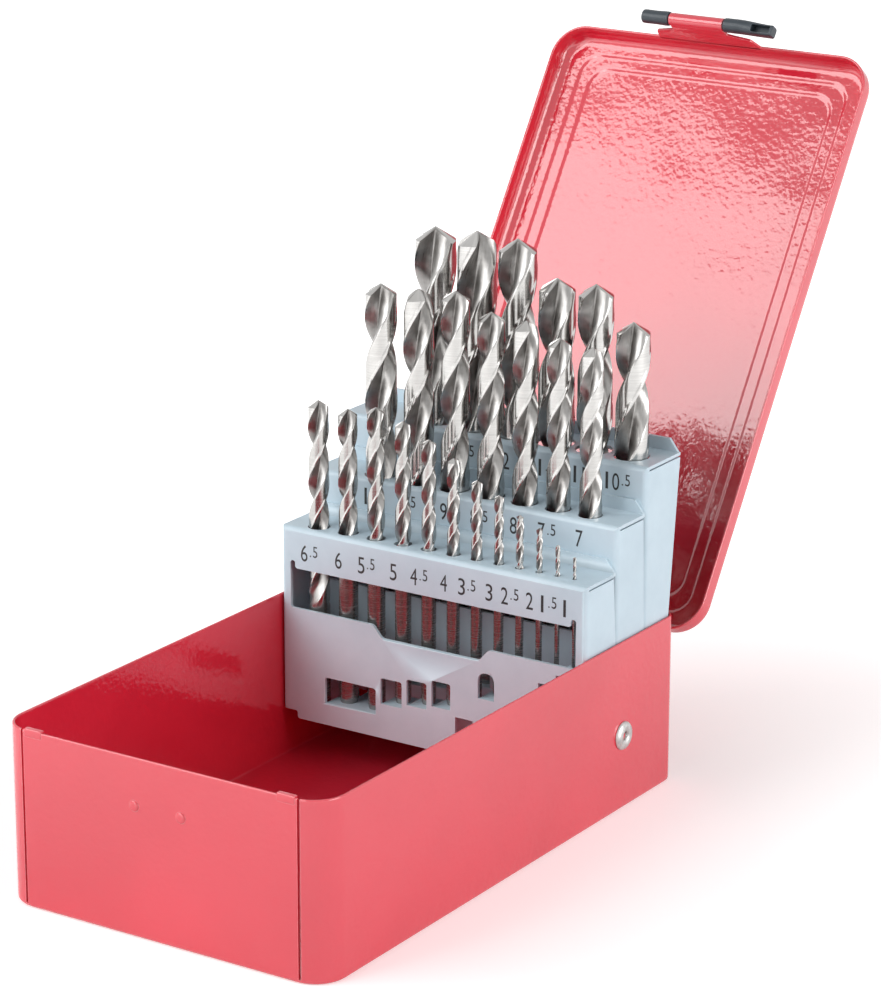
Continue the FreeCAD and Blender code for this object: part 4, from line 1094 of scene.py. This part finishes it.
def drill_tree():
    """Geometry nodes of one twist drill standing on its shank."""
    tree = bpy.data.node_groups.new("Twist drill", "GeometryNodeTree")
    face = tree.interface
    for name in ("Radius", "Length", "Flute length", "Turn"):
        face.new_socket(name, in_out="INPUT", socket_type="NodeSocketFloat")
    face.new_socket("Foot", in_out="INPUT", socket_type="NodeSocketVector")
    face.new_socket("Finish", in_out="INPUT", socket_type="NodeSocketMaterial")
    face.new_socket("Drill", in_out="OUTPUT", socket_type="NodeSocketGeometry")
    ins = tree.nodes.new("NodeGroupInput")
    outs = tree.nodes.new("NodeGroupOutput")

    def given(name):
        return Field(tree, ins.outputs[name])

    def add(kind, **settings):
        node = tree.nodes.new(kind)
        for key, value in settings.items():
            setattr(node, key, value)
        return node

    # A sheet of AROUND by ALONG points, wrapped round the axis.
    sheet = add("GeometryNodeMeshGrid")
    sheet.inputs["Size X"].default_value = 1
    sheet.inputs["Size Y"].default_value = 1
    sheet.inputs["Vertices X"].default_value = AROUND + 1
    sheet.inputs["Vertices Y"].default_value = ALONG + 1
    place = add("GeometryNodeInputPosition")
    split = add("ShaderNodeSeparateXYZ")
    tree.links.new(place.outputs[0], split.inputs[0])
    around = Field(tree, split.outputs["X"]) + 0.5
    along = Field(tree, split.outputs["Y"]) + 0.5

    # Rows: foot disc, chamfer, shank and flutes, then the ground point.
    radius = given("Radius")
    length = given("Length")
    row = along * ALONG
    foot_rows = 3.0
    point_rows = 14.0
    body_share = ((row - foot_rows) / (ALONG - foot_rows - point_rows)).join("MAXIMUM", 0.0)
    body_share = body_share.join("MINIMUM", 1.0)
    foot_share = (row / foot_rows).join("MINIMUM", 1.0)
    point_share = ((row - (ALONG - point_rows)) / point_rows).join("MAXIMUM", 0.0)
    shoulder = length - radius * POINT_SLOPE
    height = shoulder * body_share

    # Twist and depth of the flutes at this height.
    flute_start = length - given("Flute length")
    above = (height - flute_start).join("MAXIMUM", 0.0)
    depth = (above / (radius * 2 * RUNOUT_SHARE)).join("MINIMUM", 1.0)
    depth = depth.join("SMOOTH_MIN", 1.0, 0.15)
    twist = (height - flute_start) / (radius * 2 * LEAD_SHARE)
    phase = (around * 2).join("FRACT")
    curve = add("ShaderNodeFloatCurve")
    line = curve.mapping.curves[0]
    for spot, (angle_share, radius_share) in enumerate(SECTION_SHARES):
        if spot == 0:
            line.points[0].location = (angle_share, radius_share)
        elif spot == len(SECTION_SHARES) - 1:
            line.points[-1].location = (angle_share, radius_share)
        else:
            line.points.new(angle_share, radius_share)
    for point in line.points:
        point.handle_type = "AUTO_CLAMPED"
    curve.mapping.update()
    tree.links.new(phase.socket, curve.inputs["Value"])
    section = Field(tree, curve.outputs["Value"])
    cut = (section * -1 + 1) * depth
    reach = radius * (cut * -1 + 1)

    # Foot: a small chamfer closed to the axis. Point: down the cone, with lip relief.
    chamfer = (body_share * 60).join("MINIMUM", 1.0)
    reach = reach * (chamfer * 0.12 + 0.88)
    reach = reach * foot_share
    inward = (point_share * -1 + 1)
    tip_reach = reach * inward
    land_back = ((phase * -1 + LAND_SHARE) / LAND_SHARE).join("MAXIMUM", 0.0)
    relief = tip_reach * land_back * LIP_RELIEF_SHARE
    on_point = point_share.join("GREATER_THAN", 0.001)
    cone = length - tip_reach * POINT_SLOPE - relief
    shoulder_height = length - reach * POINT_SLOPE - reach * land_back * LIP_RELIEF_SHARE
    near_top = (height / shoulder).join("POWER", 24.0)
    body_height = height + (shoulder_height - shoulder) * near_top
    final_height = body_height + (cone - body_height) * on_point

    angle = (around + twist) * TAU + given("Turn")
    east = tip_reach * angle.join("COSINE")
    north = tip_reach * angle.join("SINE")
    spot = add("ShaderNodeCombineXYZ")
    tree.links.new(east.socket, spot.inputs["X"])
    tree.links.new(north.socket, spot.inputs["Y"])
    tree.links.new(final_height.socket, spot.inputs["Z"])
    shift = add("ShaderNodeVectorMath", operation="ADD")
    tree.links.new(spot.outputs[0], shift.inputs[0])
    tree.links.new(ins.outputs["Foot"], shift.inputs[1])

    # Marks for the finish: the way along the drill, where its flutes are, and how deep a spot lies,
    # which darkens the flutes as painted shade.
    way = add("ShaderNodeCombineXYZ")
    tree.links.new((around * TAU * radius).socket, way.inputs["X"])
    tree.links.new(height.socket, way.inputs["Y"])
    tree.links.new((depth * SHANK_MARK).socket, way.inputs["Z"])
    keep_way = add("GeometryNodeStoreNamedAttribute", data_type="FLOAT_VECTOR", domain="POINT")
    keep_way.inputs["Name"].default_value = "flute_way"
    tree.links.new(sheet.outputs["Mesh"], keep_way.inputs["Geometry"])
    tree.links.new(way.outputs[0], keep_way.inputs["Value"])
    keep_depth = add("GeometryNodeStoreNamedAttribute", data_type="FLOAT", domain="POINT")
    keep_depth.inputs["Name"].default_value = "flute_depth"
    tree.links.new(keep_way.outputs["Geometry"], keep_depth.inputs["Geometry"])
    hollow = (cut * inward) / 0.8
    tree.links.new(hollow.socket, keep_depth.inputs["Value"])

    move = add("GeometryNodeSetPosition")
    tree.links.new(keep_depth.outputs["Geometry"], move.inputs["Geometry"])
    tree.links.new(shift.outputs[0], move.inputs["Position"])
    merge = add("GeometryNodeMergeByDistance")
    merge.inputs["Distance"].default_value = 0.0005 * MM
    tree.links.new(move.outputs["Geometry"], merge.inputs["Geometry"])
    real = add("GeometryNodeRealizeInstances")
    tree.links.new(merge.outputs["Geometry"], real.inputs["Geometry"])
    paint = add("GeometryNodeSetMaterial")
    tree.links.new(real.outputs["Geometry"], paint.inputs["Geometry"])
    tree.links.new(ins.outputs["Finish"], paint.inputs["Material"])
    tree.links.new(paint.outputs["Geometry"], outs.inputs["Drill"])
    return tree


def grow(tree, name, values):
    """The plain mesh that a geometry node tree gives for some input values."""
    seed = bpy.data.objects.new(name, bpy.data.meshes.new(name))
    bpy.context.scene.collection.objects.link(seed)
    growth = seed.modifiers.new("growth", "NODES")
    growth.node_group = tree
    for item in tree.interface.items_tree:
        if item.item_type == "SOCKET" and item.in_out == "INPUT" and item.name in values:
            growth[item.identifier] = values[item.name]
    bpy.context.view_layer.update()
    graph = bpy.context.evaluated_depsgraph_get()
    mesh = bpy.data.meshes.new_from_object(seed.evaluated_get(graph))
    bpy.data.objects.remove(seed)
    return mesh


# Flute length in millimetres and how far each drill is turned, in radians, at its point.
DRILL_FLUTES = {
    "6_5": (66, 0.5), "6_0": (48, 0.3), "5_5": (50, 0.1), "5_0": (44, 0.6), "4_5": (41, 0.2),
    "4_0": (37, 0.9), "3_5": (34, 0.4), "3_0": (29, 0.2), "2_5": (24, 1.8), "2_0": (21, 2.5),
    "1_5": (15, 1.0), "1_0": (12, 0.5), "10_0": (87, 0.1), "9_5": (81, 1.2), "9_0": (81, 0.2),
    "8_5": (75, 0.1), "8_0": (75, 1.0), "7_5": (69, 0.3), "7_0": (69, 0.9),
    "13_0": (101, -0.1), "12_5": (101, 0.7), "12_0": (101, -0.1), "11_5": (94, 0.25),
    "11_0": (94, 0.0), "10_5": (87, -0.1),
}


def make_drill(name, flute_length, tip_turn):
    """One drill grown from its radius and lengths, standing where its CAD solid stands."""
    node = f"drill_{name}"
    low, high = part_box(node)
    radius = (high.x - low.x) / 2
    twisted = (flute_length - radius * POINT_SLOPE) / (radius * 2 * LEAD_SHARE)
    mesh = grow(twist_drill, f"bit_{name}", {
        "Radius": radius,
        "Length": high.z - low.z,
        "Flute length": flute_length,
        "Turn": tip_turn - TAU * twisted,
        "Foot": ((low.x + high.x) / 2, (low.y + high.y) / 2, low.z),
        "Finish": drill_steel,
    })
    shape = bmesh.new()
    shape.from_mesh(mesh)
    bmesh.ops.recalc_face_normals(shape, faces=shape.faces)
    shape.to_mesh(mesh)
    shape.free()
    bit = finish_mesh(f"bit_{name}", mesh, node, drill_steel, 30)
    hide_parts(node)


twist_drill = drill_tree()
for name, (flute, tip_turn) in DRILL_FLUTES.items():
    make_drill(name, flute * MM, tip_turn)


# Stage, light and camera.
NEAR_FLOOR = 0.12
FAR_FLOOR = 0.45
NEAR_GLOW = 0.35


def make_floor():
    """Pale floor that reads as white where it is lit and keeps the case's shadow."""
    shape = bmesh.new()
    bmesh.ops.create_grid(shape, x_segments=1, y_segments=1, size=6)
    mesh = mesh_from(shape, "floor")
    floor = bpy.data.objects.new("floor", mesh)
    bpy.context.scene.collection.objects.link(floor)
    material = bpy.data.materials.new("Pale floor")
    material.use_nodes = True
    wires = Wires(material.node_tree)
    shader = material.node_tree.nodes["Principled BSDF"]
    shader.inputs["Base Color"].default_value = (0.9, 0.9, 0.9, 1)
    shader.inputs["Roughness"].default_value = 0.8
    shader.inputs["Specular IOR Level"].default_value = 0.1
    shader.inputs["Emission Color"].default_value = (1, 1, 1, 1)
    ray = wires.add("ShaderNodeLightPath").outputs
    seen = wires.math("MAXIMUM", ray["Is Camera Ray"], ray["Is Glossy Ray"])
    where = wires.spot()
    away = wires.add("ShaderNodeVectorMath", {"operation": "LENGTH"})
    wires.feed(away.inputs[0], where)
    glow = wires.scale_range(away.outputs["Value"], NEAR_FLOOR, FAR_FLOOR, NEAR_GLOW, 1.0)
    wires.feed(shader.inputs["Emission Strength"], wires.math("MULTIPLY", seen, glow))
    mesh.materials.append(material)


def softbox(name, spot, shine, size, radiance, roll=0.0):
    """A rectangular soft lamp of even radiance that shines along a direction."""
    lamp = bpy.data.lights.new(name, "AREA")
    lamp.shape = "RECTANGLE"
    lamp.size, lamp.size_y = size
    lamp.energy = radiance * math.pi * size[0] * size[1]
    thing = bpy.data.objects.new(name, lamp)
    away = -Vector(shine).normalized()
    side = Vector((0, 0, 1)).cross(away).normalized()
    rise = away.cross(side)
    turned = side * math.cos(roll) + rise * math.sin(roll)
    upper = away.cross(turned)
    frame_of_lamp = Matrix((turned, upper, away)).transposed().to_4x4()
    thing.matrix_world = Matrix.Translation(spot) @ frame_of_lamp
    bpy.context.scene.collection.objects.link(thing)
    return thing


make_floor()
softbox("key_softbox", (-0.604, -0.683, 0.710), (0.479, 0.547, -0.686), (1.0, 0.80), 3.75,
        math.radians(14.7))
softbox("front_softbox", (-0.15, -1.3, 0.42), (0.1, 0.95, -0.25), (0.7, 0.7), 2.1)
softbox("side_softbox", (1.15, 0.1, 0.42), (-0.96, -0.05, -0.28), (0.8, 0.8), 4.6)

AMBIENT = 0.25
world = bpy.data.worlds.new("studio")
bpy.context.scene.world = world
world.use_nodes = True
wires = Wires(world.node_tree)
background = world.node_tree.nodes["Background"]
seen = wires.add("ShaderNodeLightPath").outputs
to_white = wires.math("MAXIMUM", seen["Is Camera Ray"], seen["Is Transmission Ray"])
to_white = wires.math("MAXIMUM", to_white, seen["Is Glossy Ray"])
background.inputs["Color"].default_value = (1, 1, 1, 1)
wires.feed(background.inputs["Strength"], wires.scale_range(to_white, 0.0, 1.0, AMBIENT, 1.0))

CAMERA_TARGET = Vector((0.031071, 0, 0.110217))
CAMERA_DISTANCE = 1.072081
CAMERA_AZIMUTH = math.radians(33.275)
CAMERA_ELEVATION = math.radians(17.451)
CAMERA_ROLL = math.radians(0.107)
CAMERA_LENS = 135.746
eye = bpy.data.cameras.new("camera")
eye.lens = CAMERA_LENS
eye.sensor_width = 36
camera = bpy.data.objects.new("camera", eye)
away = Vector((math.sin(CAMERA_AZIMUTH) * math.cos(CAMERA_ELEVATION),
               -math.cos(CAMERA_AZIMUTH) * math.cos(CAMERA_ELEVATION),
               math.sin(CAMERA_ELEVATION)))
camera.location = CAMERA_TARGET + away * CAMERA_DISTANCE
look = (-away).to_track_quat("-Z", "Y").to_matrix().to_4x4()
camera.rotation_euler = (look @ Matrix.Rotation(CAMERA_ROLL, 4, "Z")).to_euler()
bpy.context.scene.collection.objects.link(camera)
bpy.context.scene.camera = camera
bpy.context.scene.view_settings.view_transform = "Standard"
